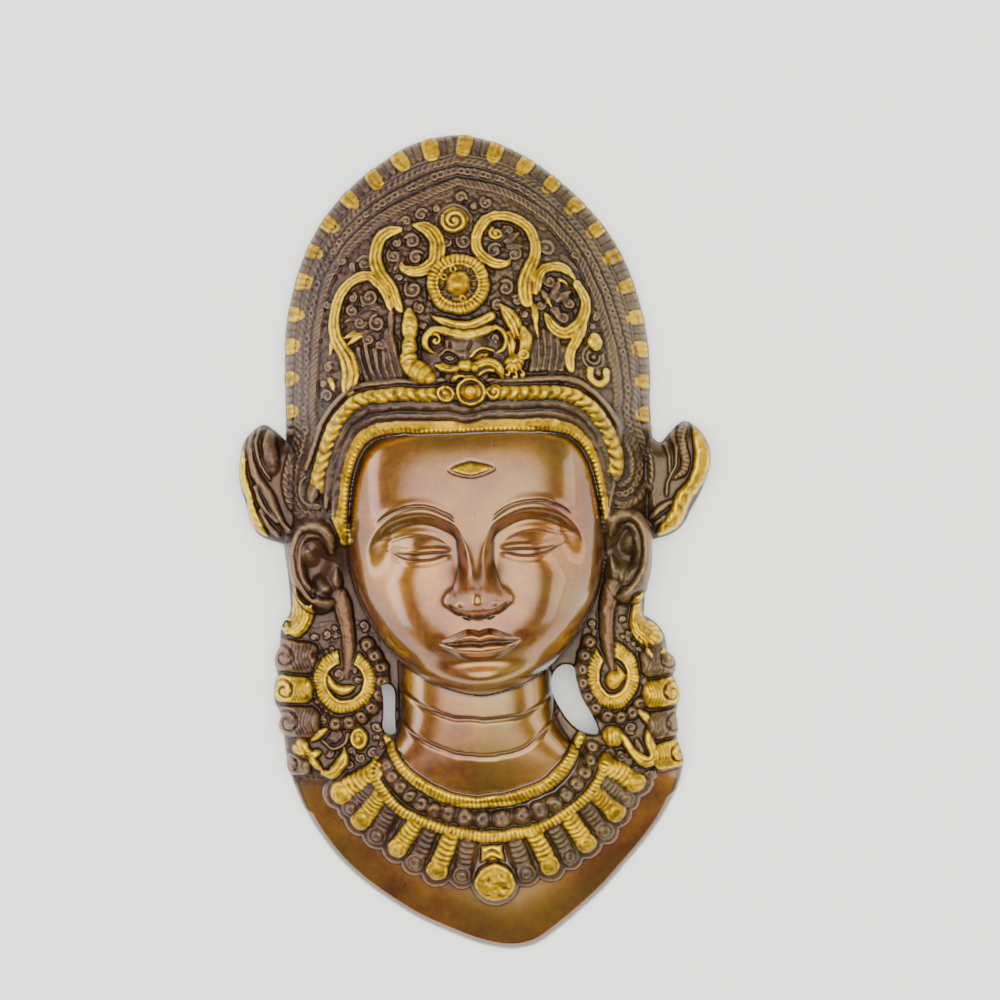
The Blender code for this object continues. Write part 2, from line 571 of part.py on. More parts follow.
# Middle lines of the gold scrolls on the crown
LEFT_UPPER_SCROLL = [(-27.0, 99.0), (-29.0, 106.0), (-32.5, 113.0), (-34.5, 120.0), (-33.5, 127.0),
                     (-29.0, 131.7), (-22.5, 134.5), (-15.5, 133.5), (-11.3, 129.5), (-10.5, 123.5),
                     (-13.0, 118.3), (-18.0, 116.0), (-22.5, 118.5)]
RIGHT_UPPER_SCROLL = [(25.5, 100.5), (26.5, 108.0), (29.0, 115.0), (30.0, 122.0), (29.5, 128.5),
                      (26.0, 134.0), (20.5, 137.5), (14.0, 137.5), (9.0, 134.0), (6.5, 128.0),
                      (7.3, 121.5), (11.0, 116.8), (16.0, 117.3), (18.0, 120.5)]
LEFT_LOWER_SCROLL = [(-53.0, 64.5), (-47.5, 71.0), (-48.0, 77.0), (-51.5, 83.0), (-54.3, 89.5),
                     (-55.0, 97.0), (-53.0, 105.0), (-48.0, 111.5), (-41.5, 114.5), (-36.0, 112.5),
                     (-33.0, 107.0), (-31.0, 100.5)]
RIGHT_LOWER_SCROLL = [(25.8, 98.5), (27.5, 106.0), (31.0, 112.5), (36.5, 115.2), (42.0, 113.2),
                      (47.0, 108.5), (51.0, 102.5), (50.8, 95.0), (47.0, 88.5), (41.0, 85.2),
                      (35.5, 87.8), (33.2, 94.0)]
RIGHT_STEM = [(50.0, 91.5), (47.5, 85.0), (43.5, 79.5), (42.0, 74.5), (42.5, 70.0)]

# Centre, radius and hand of each small curl between the scrolls
SMALL_CURLS = [(-41.5, 121.0, 3.6, 1), (-21.0, 107.0, 4.4, -1), (15.0, 106.5, 4.2, 1),
               (0.5, 126.0, 3.2, 1), (36.0, 122.0, 3.6, -1), (-21.0, 127.0, 4.0, -1),
               (-25.5, 121.5, 3.2, 1), (-38.5, 104.0, 4.0, -1), (-37.5, 94.5, 3.8, 1),
               (-36.5, 85.0, 3.2, -1), (13.5, 128.0, 3.4, 1), (22.5, 119.5, 4.0, -1),
               (22.5, 127.5, 3.4, 1), (-18.0, 99.0, 2.8, 1), (13.5, 98.5, 3.0, -1),
               (37.0, 106.5, 3.6, 1), (42.5, 99.0, 3.6, -1), (36.5, 98.5, 2.6, 1),
               (-45.5, 101.0, 3.0, 1), (-43.5, 93.5, 2.6, -1), (-29.5, 76.5, 2.4, 1),
               (-7.0, 126.5, 2.2, -1), (47.5, 121.0, 2.4, 1), (-50.0, 122.0, 2.2, 1)]


def crown_field(relief):
    """The scrolls, medallion and guardian face on the front of the crown."""
    for x, y, radius, hand in SMALL_CURLS:
        if radius > 3.0:
            relief.spiral((x, y), radius, 1.5, math.pi / 2, 2.4, 1.9, None, hand)
            relief.blob((x, y), radius * 1.4, radius * 1.4, 1.6)
    for line in (LEFT_UPPER_SCROLL, LEFT_LOWER_SCROLL, RIGHT_LOWER_SCROLL, RIGHT_UPPER_SCROLL):
        relief.band(flow(line, 1.0), drawn(SCROLL_WIDTH), drawn(SCROLL_HEIGHT), 1.0)
    relief.band(flow(RIGHT_STEM, 1.0), drawn(SCROLL_WIDTH) * 0.9, drawn(SCROLL_HEIGHT), 1.0, end=3.6)
    relief.band(flow([(-46.0, 90.5), (-49.0, 87.5), (-51.5, 83.5)], 0.8), 5.0, 3.2, 1.0, end=2.6)
    relief.blob((-44.5, 91.0), 4.6, 3.6, 3.2, 1.0)
    relief.blob((-23.5, 119.5), 4.4, 4.0, 3.4, 1.0)
    relief.blob((18.0, 121.5), 4.0, 4.0, 3.2, 1.0)
    relief.blob((33.2, 95.0), 4.6, 4.6, 3.2, 1.0)
    # Top rosette
    relief.blob((-2.0, 136.3), 12.6, 12.6, 3.2, 1.0, power=0.4)
    # Medallion: gold ring and boss
    centre = (-1.7, 108.6)
    relief.blob(centre, 2 * drawn(MEDALLION_RADIUS), 2 * drawn(MEDALLION_RADIUS), 2.4, 1.0, power=0.25)
    relief.ring(centre, drawn(MEDALLION_RADIUS) * 0.86, 3.8, 4.6, 1.0)
    relief.blob(centre, 10.2, 10.2, 6.4, 0.35, power=0.5)
    # Crescent under it
    relief.band(flow([(-14.0, 96.8), (-8.0, 92.8), (-1.7, 91.4), (5.0, 92.4), (11.5, 96.3)], 0.8), 5.6,
                3.8, 1.0)
    guardian(relief)
    # Hanging drapery beside the guardian
    for u in np.linspace(0.0, 1.0, 2):
        left = [(-31.5 - 7 * u, 96.0 - 6 * u), (-31.0 - 9 * u, 84.0), (-25.5 - 17 * u, 70.5 - 1.5 * u)]
        right = [(29.0 + 8 * u, 95.0 - 12 * u), (29.5 + 9 * u, 82.0 - 4 * u), (24.0 + 14 * u, 69.0)]
        relief.cord(flow(left, 1.0), 3.5, 1.6, None)
        relief.cord(flow(right, 1.0), 3.5, 1.6, None)
    relief.band(flow([(27.5, 96.0), (29.5, 89.0), (31.0, 83.0)], 1.0), 3.6, 2.8, 1.0)
    # Flowers at the two ends
    relief.blob((54.0, 81.0), 7.4, 8.4, 3.4, 1.0)
    relief.cord(flow([(48.0, 76.5), (51.0, 72.5), (55.5, 74.5)], 0.7), 1.6, 2.2)
    relief.cord(flow([(47.0, 74.0), (50.8, 69.8), (56.0, 72.0)], 0.7), 1.4, 2.0)
    relief.cord(flow([(49.5, 68.5), (51.5, 64.0), (56.0, 63.5), (58.5, 68.5)], 0.7), 3.4, 3.0, 1.0)
    relief.blob((54.0, 68.0), 3.6, 3.4, 2.4)
    relief.blob((-58.5, 84.0), 5.0, 7.6, 3.0, 1.0, 0.4)
    relief.blob((-59.5, 70.0), 4.6, 6.6, 3.0, 1.0, -0.4)


def guardian(relief):
    """The small guardian's face over the brow, gripping two stems."""
    relief.blob((-1.0, 78.5), 29.0, 20.0, 3.0, None, power=0.4)
    relief.band(flow([(-17.5, 84.5), (-13.5, 88.8), (-7.0, 88.0), (-1.2, 86.6), (5.0, 88.0),
                      (11.5, 88.6), (15.8, 84.2)], 0.8), 4.6, 5.0, 1.0)
    relief.spiral((-13.5, 83.6), 3.0, 1.25, 1.8, 1.8, 4.8, 1.0, -1)
    relief.spiral((12.3, 83.4), 3.0, 1.25, 1.3, 1.8, 4.6, None, 1)
    relief.blob((-1.3, 82.8), 12.0, 6.0, 4.4, None)
    for x, gilt in ((-7.3, None), (5.6, 1.0)):
        relief.blob((x, 78.6), 6.8, 4.6, 4.6, gilt, 0.15 if x < 0 else -0.15)
    relief.blob((-1.0, 75.4), 7.0, 6.4, 6.6, 1.0)
    relief.blob((-8.6, 73.2), 8.0, 4.6, 5.0, 1.0, -0.2)
    relief.cord(flow([(1.5, 72.0), (5.5, 74.6), (10.5, 73.8), (13.0, 70.5)], 0.7), 3.4, 4.8, 1.0)
    relief.blob((7.0, 69.6), 7.0, 3.4, 3.0, None)
    left = [(-24.2, 98.8), (-25.5, 92.0), (-25.0, 85.0), (-23.5, 78.5), (-19.5, 73.0), (-14.5, 69.6)]
    right = [(18.0, 98.0), (20.3, 92.0), (23.3, 85.5), (22.3, 79.5), (19.3, 74.0), (15.5, 70.0)]
    for side, line in ((-1, left), (1, right)):
        relief.cord(flow(line, 1.0), 6.6, 4.4, 1.0)
        relief.blob((side * 22.0 - 1.0, 78.5), 5.0, 4.4, 5.0, 1.0)
    for x, y in ((-11.0, 98.0), (14.0, 97.5), (-18.0, 90.5), (17.5, 103.0)):
        relief.blob((x, y), 2.6, 2.6, 2.2, None)


BROW_ROPE = [(-65.5, 26.0), (-62.5, 36.0), (-58.5, 46.0), (-52.0, 55.5), (-43.0, 61.3), (-30.0, 62.6),
             (-15.0, 61.6), (0.5, 61.6), (16.0, 61.0), (30.0, 60.6), (42.5, 58.8), (51.0, 52.5),
             (56.8, 43.5), (60.0, 34.0), (59.0, 25.5)]


def brow(relief):
    """Rope, mouldings and toothed band that frame the forehead."""
    rope = flow(BROW_ROPE, 1.0)
    band = flow(TOOTHED_BAND, 1.0)
    t = np.linspace(0, 1, 160)
    ends = []
    for line in (rope, band):
        run = lengths(line) / lengths(line)[-1]
        ends.append(np.stack([np.interp(t, run, line[:, 0]), np.interp(t, run, line[:, 1])], 1))
    relief.cord(evenly(ends[0] + (ends[0] - ends[1]) * 0.42, 1.0), 3.2, 3.4)
    for share in (0.36, 0.62):
        line = ends[0] * (1 - share) + ends[1] * share
        line[:, 1] -= 2.0 * bell(line[:, 0] / 9.0)
        relief.cord(evenly(line, 1.0), 3.0, 4.6 - 1.6 * share)
    at, away, across, run = relief.near(band, 4.0)
    half = 2.9 - 1.1 * smooth_step(run, 110.0, 190.0)
    high = 3.4 * np.where(np.abs(across / half) < 1, rounded((1 - np.abs(across / half)) * 3), -1.0)
    relief.lay(at, high, 1.0)
    relief.cord(rope, drawn(ROPE_WIDTH), drawn(ROPE_HEIGHT), 1.0)
    relief.blob((-66.3, 23.3), 6.4, 6.0, 5.0)
    relief.ring((1.0, 61.4), 4.1, 2.0, 8.2, 1.0)
    relief.blob((1.0, 61.4), 6.6, 6.6, 9.6, 1.0)
    relief.blob((-9.2, 61.9), 5.6, 5.6, 8.8, 1.0)
    relief.blob((10.2, 61.2), 7.4, 5.4, 8.4, 1.0)
    # The gilded almond on the forehead
    at, u, v = relief.frame((0.0, 31.0), 0.0, 11.0)
    r = (np.abs(u) / 8.4) ** 1.35 + (np.abs(v) / 2.7) ** 1.35
    relief.lay(at, np.where(r < 1, 0.7 * rounded((1 - r) * 3), -1.0), 1.0)


def crown_skirt(relief):
    """Rows of beading on the sides of the crown, turning under the ends of the rope."""
    left_rows = [[(-68.5, 98.0), (-71.0, 80.0), (-72.0, 62.0), (-73.5, 48.0), (-76.0, 34.0),
                  (-77.5, 22.0)],
                 [(-67.5, 70.0), (-69.5, 54.0), (-71.8, 42.0), (-74.0, 30.0), (-73.5, 20.0),
                  (-68.5, 15.5)],
                 [(-64.0, 58.0), (-66.0, 46.0), (-69.0, 35.0), (-71.0, 25.0), (-68.5, 18.0),
                  (-63.0, 16.5)]]
    right_rows = [[(66.5, 98.0), (69.0, 80.0), (70.5, 62.0), (72.0, 48.0), (73.0, 34.0),
                   (70.5, 22.0), (64.0, 13.5)],
                  [(65.0, 70.0), (66.5, 54.0), (68.5, 42.0), (69.3, 31.0), (66.0, 21.0),
                   (59.5, 15.5)],
                  [(62.0, 58.0), (63.8, 46.0), (65.3, 36.0), (64.5, 26.0), (60.0, 19.0),
                   (56.5, 17.5)]]
    for rows in (left_rows, right_rows):
        for row in rows:
            relief.cord(flow(row, 1.0), 3.4, 1.7)
    for row in ([(77.0, 47.0), (79.0, 36.0), (77.5, 25.0), (73.0, 14.0)],
                [(80.5, 40.0), (82.0, 30.0), (79.0, 18.0)]):
        relief.cord(flow(row, 1.0), 2.4, 1.8)


def wings(relief):
    """The two ribbon ends that flare from the foot of the crown."""
    relief.cord(flow([(-91.5, 51.0), (-95.0, 44.0), (-95.5, 33.0), (-93.5, 22.0), (-90.0, 13.0)], 1.0),
                4.4, 2.4)
    relief.cord(flow([(-97.5, 42.5), (-97.3, 32.0), (-95.6, 21.5), (-92.0, 11.0)], 1.0), 4.0, 3.4, 1.0,
                end=3.0)
    relief.cord(flow([(-90.5, 51.0), (-90.5, 42.0), (-87.0, 34.5), (-82.5, 40.0), (-83.0, 46.5)], 0.8),
                2.2, 2.8)
    relief.blob((-86.3, 42.5), 5.0, 10.5, 2.4, None, -0.2)
    for line in ([(-87.5, 33.0), (-88.5, 24.0), (-85.5, 14.0), (-82.0, 9.0)],
                 [(-84.0, 31.0), (-84.5, 22.0), (-81.5, 13.0)]):
        relief.cord(flow(line, 1.0), 3.2, 2.4, None, end=2.0)
    relief.band(flow([(95.8, 40.5), (97.4, 34.5), (96.8, 28.0), (93.8, 22.0)], 1.0), 7.0, 4.2, 1.0)
    relief.band(flow([(91.0, 19.5), (90.0, 13.0), (86.5, 7.0), (80.5, 2.5)], 1.0), 7.4, 4.0, 1.0,
                end=5.5)
    for line in ([(89.5, 45.0), (91.5, 38.0), (89.0, 30.0), (84.0, 23.0)],
                 [(85.5, 42.0), (86.5, 34.0), (83.0, 26.0)],
                 [(86.0, 18.0), (83.0, 13.0), (79.5, 8.0)]):
        relief.cord(flow(line, 1.0), 2.8, 2.6, None)


def ears(relief):
    """Long-lobed ears."""
    left = [(-62.5, 2.5), (-64.0, 8.5), (-69.5, 11.6), (-75.0, 10.0), (-78.0, 4.5), (-78.0, -4.0),
            (-75.5, -12.0), (-70.5, -19.0), (-65.0, -22.8), (-59.5, -22.0)]
    right = [(57.0, 8.0), (63.0, 9.6), (68.8, 7.2), (71.3, 1.5), (70.8, -6.5), (68.8, -16.0),
             (64.5, -23.0), (58.8, -26.0), (54.5, -23.5)]
    for line, centre, tilt in ((left, LEFT_EAR, 1.25), (right, RIGHT_EAR, 1.75)):
        at, u, v = relief.frame(centre, tilt, 20.0)
        relief.rise[at] -= (5.0 * bell(np.sqrt((u / 17.0) ** 2 + (v / 7.0) ** 2)))
        relief.cord(flow(line, 0.8), 4.0, 4.6)
    relief.cord(flow([(-70.0, 4.0), (-72.5, -4.0), (-69.0, -12.5), (-63.0, -18.0)], 0.8), 2.6, 2.4)
    relief.cord(flow([(60.0, -1.0), (63.5, 3.0), (67.2, -1.5), (66.6, -10.0), (63.0, -19.0)], 0.8), 2.4,
                2.2)
    relief.blob((-59.5, -13.5), 6.0, 8.0, 3.5)
    relief.blob((56.8, -11.0), 5.0, 8.0, 3.5)
    relief.cord(flow([(-56.0, -19.0), (-53.2, -30.0), (-53.5, -41.0), (-56.3, -50.0), (-58.5, -54.5)],
                     0.8), 6.0, 10.0, 0.0, end=3.6)
    relief.cord(flow([(52.0, -19.0), (49.6, -30.0), (50.4, -41.0), (53.0, -51.0), (53.8, -56.0)], 0.8),
                5.6, 10.0, 0.0, end=3.2)


def earrings(relief):
    """Toothed rings with a drop, and a row of studs round each."""
    relief.ring(LEFT_DROP, 10.0, 3.8, 4.0, 1.0, gap=(1.35, 0.32))
    relief.ring(LEFT_DROP, 13.0, 1.0, 1.0)
    relief.ring((-59.0, -56.2), 4.6, 2.8, 3.4, 1.0, gap=(1.2, 0.9))
    relief.blob((-59.6, -57.6), 6.0, 4.6, 3.6, 1.0)
    relief.ring(RIGHT_DROP, 8.3, 3.8, 4.0, 1.0, stretch=1.36, gap=(1.75, 0.38))
    relief.blob((55.2, -61.2), 8.0, 10.0, 3.8, 1.0)
    left = [(-47.5, -40.5), (-44.2, -45.2), (-42.8, -51.0), (-42.9, -57.2), (-44.6, -63.2),
            (-48.0, -68.6), (-53.0, -71.8), (-58.2, -73.4), (-63.5, -72.8)]
    right = [(45.6, -43.5), (43.0, -49.2), (41.6, -55.2), (42.0, -61.5), (44.2, -67.6), (48.0, -72.6),
             (53.0, -75.8), (58.2, -76.0), (62.6, -74.4), (66.4, -71.0)]
    for studs, middle in ((left, LEFT_DROP), (right, RIGHT_DROP)):
        for spot in studs:
            angle = math.atan2(spot[1] - middle[1], spot[0] - middle[0])
            relief.block(spot, drawn(STUD_SIZE), drawn(STUD_SIZE), 4.0, None, angle, 1.3)


def hair(relief):
    """Locks and knots that fall from the ears to the shoulders."""
    relief.cord(flow([(-79.5, -15.5), (-76.5, -21.0), (-75.5, -27.0), (-78.5, -32.5)], 0.8), 8.0, 4.6,
                1.0, end=9.0)
    relief.blob((-80.5, -33.5), 9.0, 5.0, 4.4, 1.0, 0.2)
    locks = [((-80.0, -45.5), 15.0, 10.0, None, -1), ((-79.5, -58.2), 14.5, 9.0, 1.0, -1),
             ((-78.5, -72.5), 15.0, 9.5, None, -1), ((-79.0, -83.0), 12.0, 8.0, 1.0, -1),
             ((-80.0, -90.0), 9.0, 5.5, None, -1),
             ((73.5, -46.5), 14.0, 9.5, 0.0, 1), ((74.5, -56.0), 15.0, 9.5, 1.0, 1),
             ((74.8, -69.0), 14.5, 9.5, None, 1), ((75.5, -80.5), 14.0, 9.0, None, 1),
             ((76.5, -92.5), 14.5, 9.5, 1.0, 1)]
    for centre, long, wide, gilt, side in locks:
        gilt = 0.0 if gilt is None else gilt
        relief.blob(centre, long, wide, 6.0, gilt, 0.12 * side, power=0.4)
    relief.cord(flow([(67.5, -28.0), (67.0, -35.0), (70.0, -40.5), (74.0, -43.5)], 0.8), 6.0, 4.6, 1.0,
                end=8.0)
    # Gold knots and drops over the shoulders
    relief.blob((-54.0, -80.3), 7.8, 9.8, 4.4, 1.0)
    relief.ring((-54.0, -80.3), 4.9, 1.2, 1.6, stretch=1.2)
    relief.cord(flow([(-73.0, -85.5), (-69.0, -91.0), (-64.0, -92.0), (-61.5, -84.5)], 0.7), 4.4, 4.0,
                1.0)
    relief.blob((-70.8, -77.8), 7.2, 4.4, 3.4, 1.0, 0.7)
    relief.blob((54.0, -84.6), 9.8, 9.4, 5.4, 1.0)
    relief.cord(flow([(58.0, -86.5), (62.5, -92.5), (67.0, -95.3), (70.0, -91.0), (69.5, -84.0)], 0.7),
                4.6, 4.2, 1.0)
    relief.blob((69.5, -78.5), 5.0, 8.0, 3.4, 1.0, 0.5)
    relief.cord(flow([(64.5, -85.0), (66.5, -89.5), (67.6, -84.5)], 0.6), 2.6, 3.0)
    for x, y, r in ((-46.5, -85.5, 2.2), (-51.0, -89.5, 2.4), (-57.0, -88.0, 2.0), (-63.0, -79.5, 3.4),
                    (-68.5, -71.5, 2.4), (60.5, -80.5, 3.2), (58.0, -92.5, 2.6), (64.0, -99.5, 2.4),
                    (52.5, -91.0, 2.2), (-69.0, -38.0, 1.6), (-65.0, -36.0, 1.6), (62.0, -40.0, 1.6)):
        relief.spiral((x, y), r, 1.2, 0.6, 2.4, 2.0)


# Middle lines of the necklace, and each pendant's root, tip and gilding
COLLAR = [(-41.8, -80.5), (-37.3, -91.0), (-29.0, -100.0), (-18.0, -106.8), (-5.0, -109.8),
          (8.0, -109.0), (21.5, -104.8), (32.0, -96.5), (40.3, -84.5)]
STUD_ROW = [(-46.0, -86.0), (-42.5, -92.5), (-36.5, -102.0), (-27.5, -109.0), (-15.0, -114.0),
            (-2.0, -116.2), (11.0, -115.7), (24.0, -111.8), (35.5, -104.3), (42.5, -94.5),
            (46.0, -85.5)]
LOWER_COLLAR = [(-49.3, -93.5), (-43.3, -103.5), (-33.5, -112.3), (-20.5, -119.0), (-6.0, -122.6),
                (9.0, -122.9), (22.0, -120.0), (34.5, -113.3), (43.5, -104.3), (49.8, -94.5)]
PENDANTS = [((-48.5, -96.0), (-62.0, -103.0), 1), ((-49.0, -101.5), (-58.0, -109.3), 0),
            ((-45.0, -106.5), (-53.0, -114.3), 1), ((-38.0, -112.5), (-47.0, -122.5), 0),
            ((-30.0, -116.5), (-39.2, -127.8), 1), ((-22.5, -120.5), (-32.0, -133.8), 0),
            ((-15.5, -124.0), (-22.2, -137.0), 1), ((-8.5, -125.0), (-12.8, -140.3), 0),
            ((10.5, -125.0), (14.2, -140.0), 0), ((19.0, -122.5), (24.2, -137.4), 1),
            ((27.5, -120.5), (33.5, -134.3), 0), ((32.0, -117.0), (39.6, -129.3), 1),
            ((38.0, -113.0), (47.5, -125.2), 0), ((42.0, -108.0), (52.3, -116.8), 1),
            ((46.5, -103.0), (57.3, -112.0), 0), ((49.3, -97.0), (61.0, -105.0), 1)]


def necklace(relief):
    """Two toothed bands with a row of studs between, and the pendants."""
    rows = flow(STUD_ROW, 0.8)
    total = lengths(rows)[-1]
    sizes = [4.0, 4.2, 4.4, 4.6, 4.8, 5.2, 5.6, 6.2, 6.8, 8.2, 7.0, 6.2, 5.6, 5.2, 5.0, 4.8, 4.6, 4.4,
             4.0, 4.0]
    s = 0.0
    for size in np.array(sizes) * total / sum(sizes):
        here, angle = along(rows, s + size / 2)
        relief.blob(here, size * 0.96, min(size, 6.4) * 1.02, 2.8, None, angle, power=0.3)
        s += size
    for line, width in ((COLLAR, 5.0), (LOWER_COLLAR, 4.8)):
        relief.cord(flow(line, 1.0), width, 3.6, 1.0)
    for root, tip, gold in PENDANTS:
        gilt = 1.0 if gold else 0.0
        way = np.subtract(tip, root)
        angle = math.atan2(way[1], way[0])
        size = math.hypot(*way)
        relief.blob(tip, drawn(PENDANT_WIDTH) * 1.5, drawn(PENDANT_WIDTH) * 1.45, 1.4, 0.0, angle,
                    power=0.25)
        relief.cord(evenly(np.array([root, np.add(root, way * 0.7)]), 0.8), drawn(PENDANT_WIDTH) * 0.8,
                    2.8, gilt, end=drawn(PENDANT_WIDTH) * 0.95)
        relief.blob(tip, drawn(PENDANT_WIDTH) * 1.05, drawn(PENDANT_WIDTH), 4.4, gilt, angle,
                    power=0.45)
    relief.block((0.3, -130.5), 8.4, 6.0, 3.4, 1.0, 0.0, 1.4)
    relief.blob((0.8, -143.6), 17.6, 17.4, 2.2, 0.0, power=0.3)
    relief.blob((0.8, -143.4), 15.6, 15.4, 4.8, 1.0, power=0.4)


def neck_lines(relief):
    """The two engraved folds of the neck."""
    upper = [(-34.0, -61.0), (-24.0, -67.5), (-14.0, -71.2), (-3.0, -72.8), (9.0, -72.9), (18.0, -71.2),
             (28.5, -65.5)]
    lower = [(-38.0, -69.0), (-31.0, -77.5), (-22.0, -83.5), (-10.0, -87.6), (3.0, -88.6),
             (14.0, -86.8), (24.5, -80.0), (31.0, -71.5)]
    for line in (upper, lower):
        relief.groove(flow(line, 0.8), 1.5, 1.1)


def ornament(relief):
    crown_border(relief)
    crown_skirt(relief)
    crown_field(relief)
    brow(relief)
    wings(relief)
    hair(relief)
    ears(relief)
    earrings(relief)
    necklace(relief)
    neck_lines(relief)


def hollow(relief, scale):
    """The height of the inner surface: the broad forms less the wall, measured squarely."""
    sx, sy, sz = scale
    front = relief.base * sz
    whole = inside(outline(1.0), relief.x, relief.y)
    front = np.where(whole, front, -99.0)
    step_x, step_y = relief.cell * sx, relief.cell * sy
    reach_x = int(WALL_THICKNESS / step_x)
    reach_y = int(WALL_THICKNESS / step_y)
    inner = np.full(front.shape, 1e9)
    rows, columns = front.shape
    padded = np.pad(front, ((reach_y, reach_y), (reach_x, reach_x)), constant_values=-99.0)
    for i in range(-reach_y, reach_y + 1):
        for j in range(-reach_x, reach_x + 1):
            off = (i * step_y) ** 2 + (j * step_x) ** 2
            if off > WALL_THICKNESS ** 2:
                continue
            part = padded[reach_y + i:reach_y + i + rows, reach_x + j:reach_x + j + columns]
            inner = np.minimum(inner, part - math.sqrt(WALL_THICKNESS ** 2 - off))
    return np.maximum(inner, 0.0)


def read_map(relief, values, points):
    """Values of a map at loose points, between its cells."""
    u = (points[:, 0] - relief.x[0]) / relief.cell
    v = (points[:, 1] - relief.y[0]) / relief.cell
    j = np.clip(u.astype(int), 0, values.shape[1] - 2)
    i = np.clip(v.astype(int), 0, values.shape[0] - 2)
    a, b = u - j, v - i
    return (values[i, j] * (1 - a) * (1 - b) + values[i, j + 1] * a * (1 - b)
            + values[i + 1, j] * (1 - a) * b + values[i + 1, j + 1] * a * b)


def sheet(loops, spots):
    """Triangles over the plan between the closed loops, through loose spots."""
    points = np.vstack(loops + [spots])
    edges = []
    start = 0
    for loop in loops:
        count = len(loop)
        edges += [(start + k, start + (k + 1) % count) for k in range(count)]
        start += count
    found, _, faces, origins, _, _ = delaunay_2d_cdt([Vector(p) for p in points], edges, [], 1, 1e-7)
    back = np.array([group[0] for group in origins])
    faces = back[np.array([face for face in faces])]
    a, b, c = (points[faces[:, k]] for k in range(3))
    turn = (b[:, 0] - a[:, 0]) * (c[:, 1] - a[:, 1]) - (b[:, 1] - a[:, 1]) * (c[:, 0] - a[:, 0])
    faces = np.where(turn[:, None] < 0, faces[:, ::-1], faces)
    middle = (a + b + c) / 3
    keep = np.ones(len(faces), bool)
    for loop in loops[1:]:
        keep &= ~within(loop, middle)
    return points, faces[keep]


def within(loop, points):
    """Which points lie inside a closed loop."""
    low, high = loop.min(0), loop.max(0)
    maybe = np.flatnonzero(((points > low) & (points < high)).all(1))
    x, y = points[maybe].T
    hits = np.zeros(len(maybe), int)
    for a, b in zip(loop, np.roll(loop, -1, axis=0)):
        crosses = (a[1] > y) != (b[1] > y)
        if crosses.any():
            cut = a[0] + (y - a[1]) / (b[1] - a[1] + 1e-30) * (b[0] - a[0])
            hits += crosses & (x < cut)
    found = np.zeros(len(points), bool)
    found[maybe] = hits % 2 == 1
    return found


def grid_spots(loops, spacing, clear):
    """Evenly spread points inside the outline, clear of the loops."""
    low, high = loops[0].min(0), loops[0].max(0)
    rows = np.arange(low[1], high[1], spacing * 0.866)
    spots = []
    for i, level in enumerate(rows):
        across = np.arange(low[0] + (i % 2) * spacing / 2, high[0], spacing)
        spots.append(np.stack([across, np.full(len(across), level)], 1))
    spots = np.vstack(spots)
    keep = within(loops[0], spots)
    for loop in loops[1:]:
        keep &= ~within(loop, spots)
    spots = spots[keep]
    near = np.zeros(len(spots), bool)
    for loop in loops:
        for p in loop:
            near |= (np.abs(spots[:, 0] - p[0]) < clear) & (np.abs(spots[:, 1] - p[1]) < clear)
    return spots[~near]


def casting():
    """The closed solid of the mask: points in millimetres, triangles and gilding."""
    relief = Relief(drawn(CELL))
    broad_forms(relief)
    ornament(relief)
    loops = [outline(1.6)] + [flow(gap, 1.6, closed=True)[:-1] for gap in (LEFT_GAP, RIGHT_GAP)]
    plan = loops[0]
    middle = (plan.min(0) + plan.max(0)) / 2
    extent = plan.max(0) - plan.min(0)
    top = (relief.base + relief.rise).max()
    scale = (MASK_WIDTH / extent[0], MASK_LENGTH / extent[1], MASK_DEPTH / top)
    front_map = np.maximum(relief.base + relief.rise, 1.5) * scale[2]
    back_map = hollow(relief, scale)
    front_plan, front_faces = sheet(loops, grid_spots(loops, drawn(CELL), drawn(CELL) * 0.55))
    back_plan, back_faces = sheet(loops, grid_spots(loops, drawn(CELL) * 2.0, drawn(CELL) * 1.2))
    front_z = read_map(relief, front_map, front_plan)
    back_z = read_map(relief, back_map, back_plan)
    start = 0
    for k, loop in enumerate(loops):
        part = slice(start, start + len(loop))
        if k == 0:
            back_z[part] = 0.0
            front_z[part] = np.clip(front_z[part], RIM_HEIGHT * 0.6, RIM_HEIGHT)
        else:
            back_z[part] = np.minimum(back_z[part], front_z[part] - WALL_THICKNESS)
        start += len(loop)
    size = np.array(scale[:2])
    front = np.column_stack([(front_plan - middle) * size, front_z])
    back = np.column_stack([(back_plan - middle) * size, back_z])
    points = np.vstack([front, back])
    gilding = np.concatenate([read_map(relief, relief.gilt, front_plan), np.zeros(len(back))])
    faces = [front_faces, back_faces[:, ::-1] + len(front)]
    start = 0
    for k, loop in enumerate(loops):
        a = start + np.arange(len(loop))
        b = np.roll(a, -1)
        if np.sum(loop[:, 0] * np.roll(loop[:, 1], -1) - loop[:, 1] * np.roll(loop[:, 0], -1)) < 0:
            a, b = b, a
        if k:
            a, b = b, a
        low_a, low_b = a + len(front), b + len(front)
        faces += [np.column_stack([low_a, low_b, b]), np.column_stack([low_a, b, a])]
        start += len(loop)
    return points, np.vstack(faces), gilding


def linear(code):
    """A colour written as six hex digits, as the shader needs it."""
    parts = [int(code[i:i + 2], 16) / 255.0 for i in (0, 2, 4)]
    return tuple(p / 12.92 if p < 0.04045 else ((p + 0.055) / 1.055) ** 2.4 for p in parts) + (1.0,)


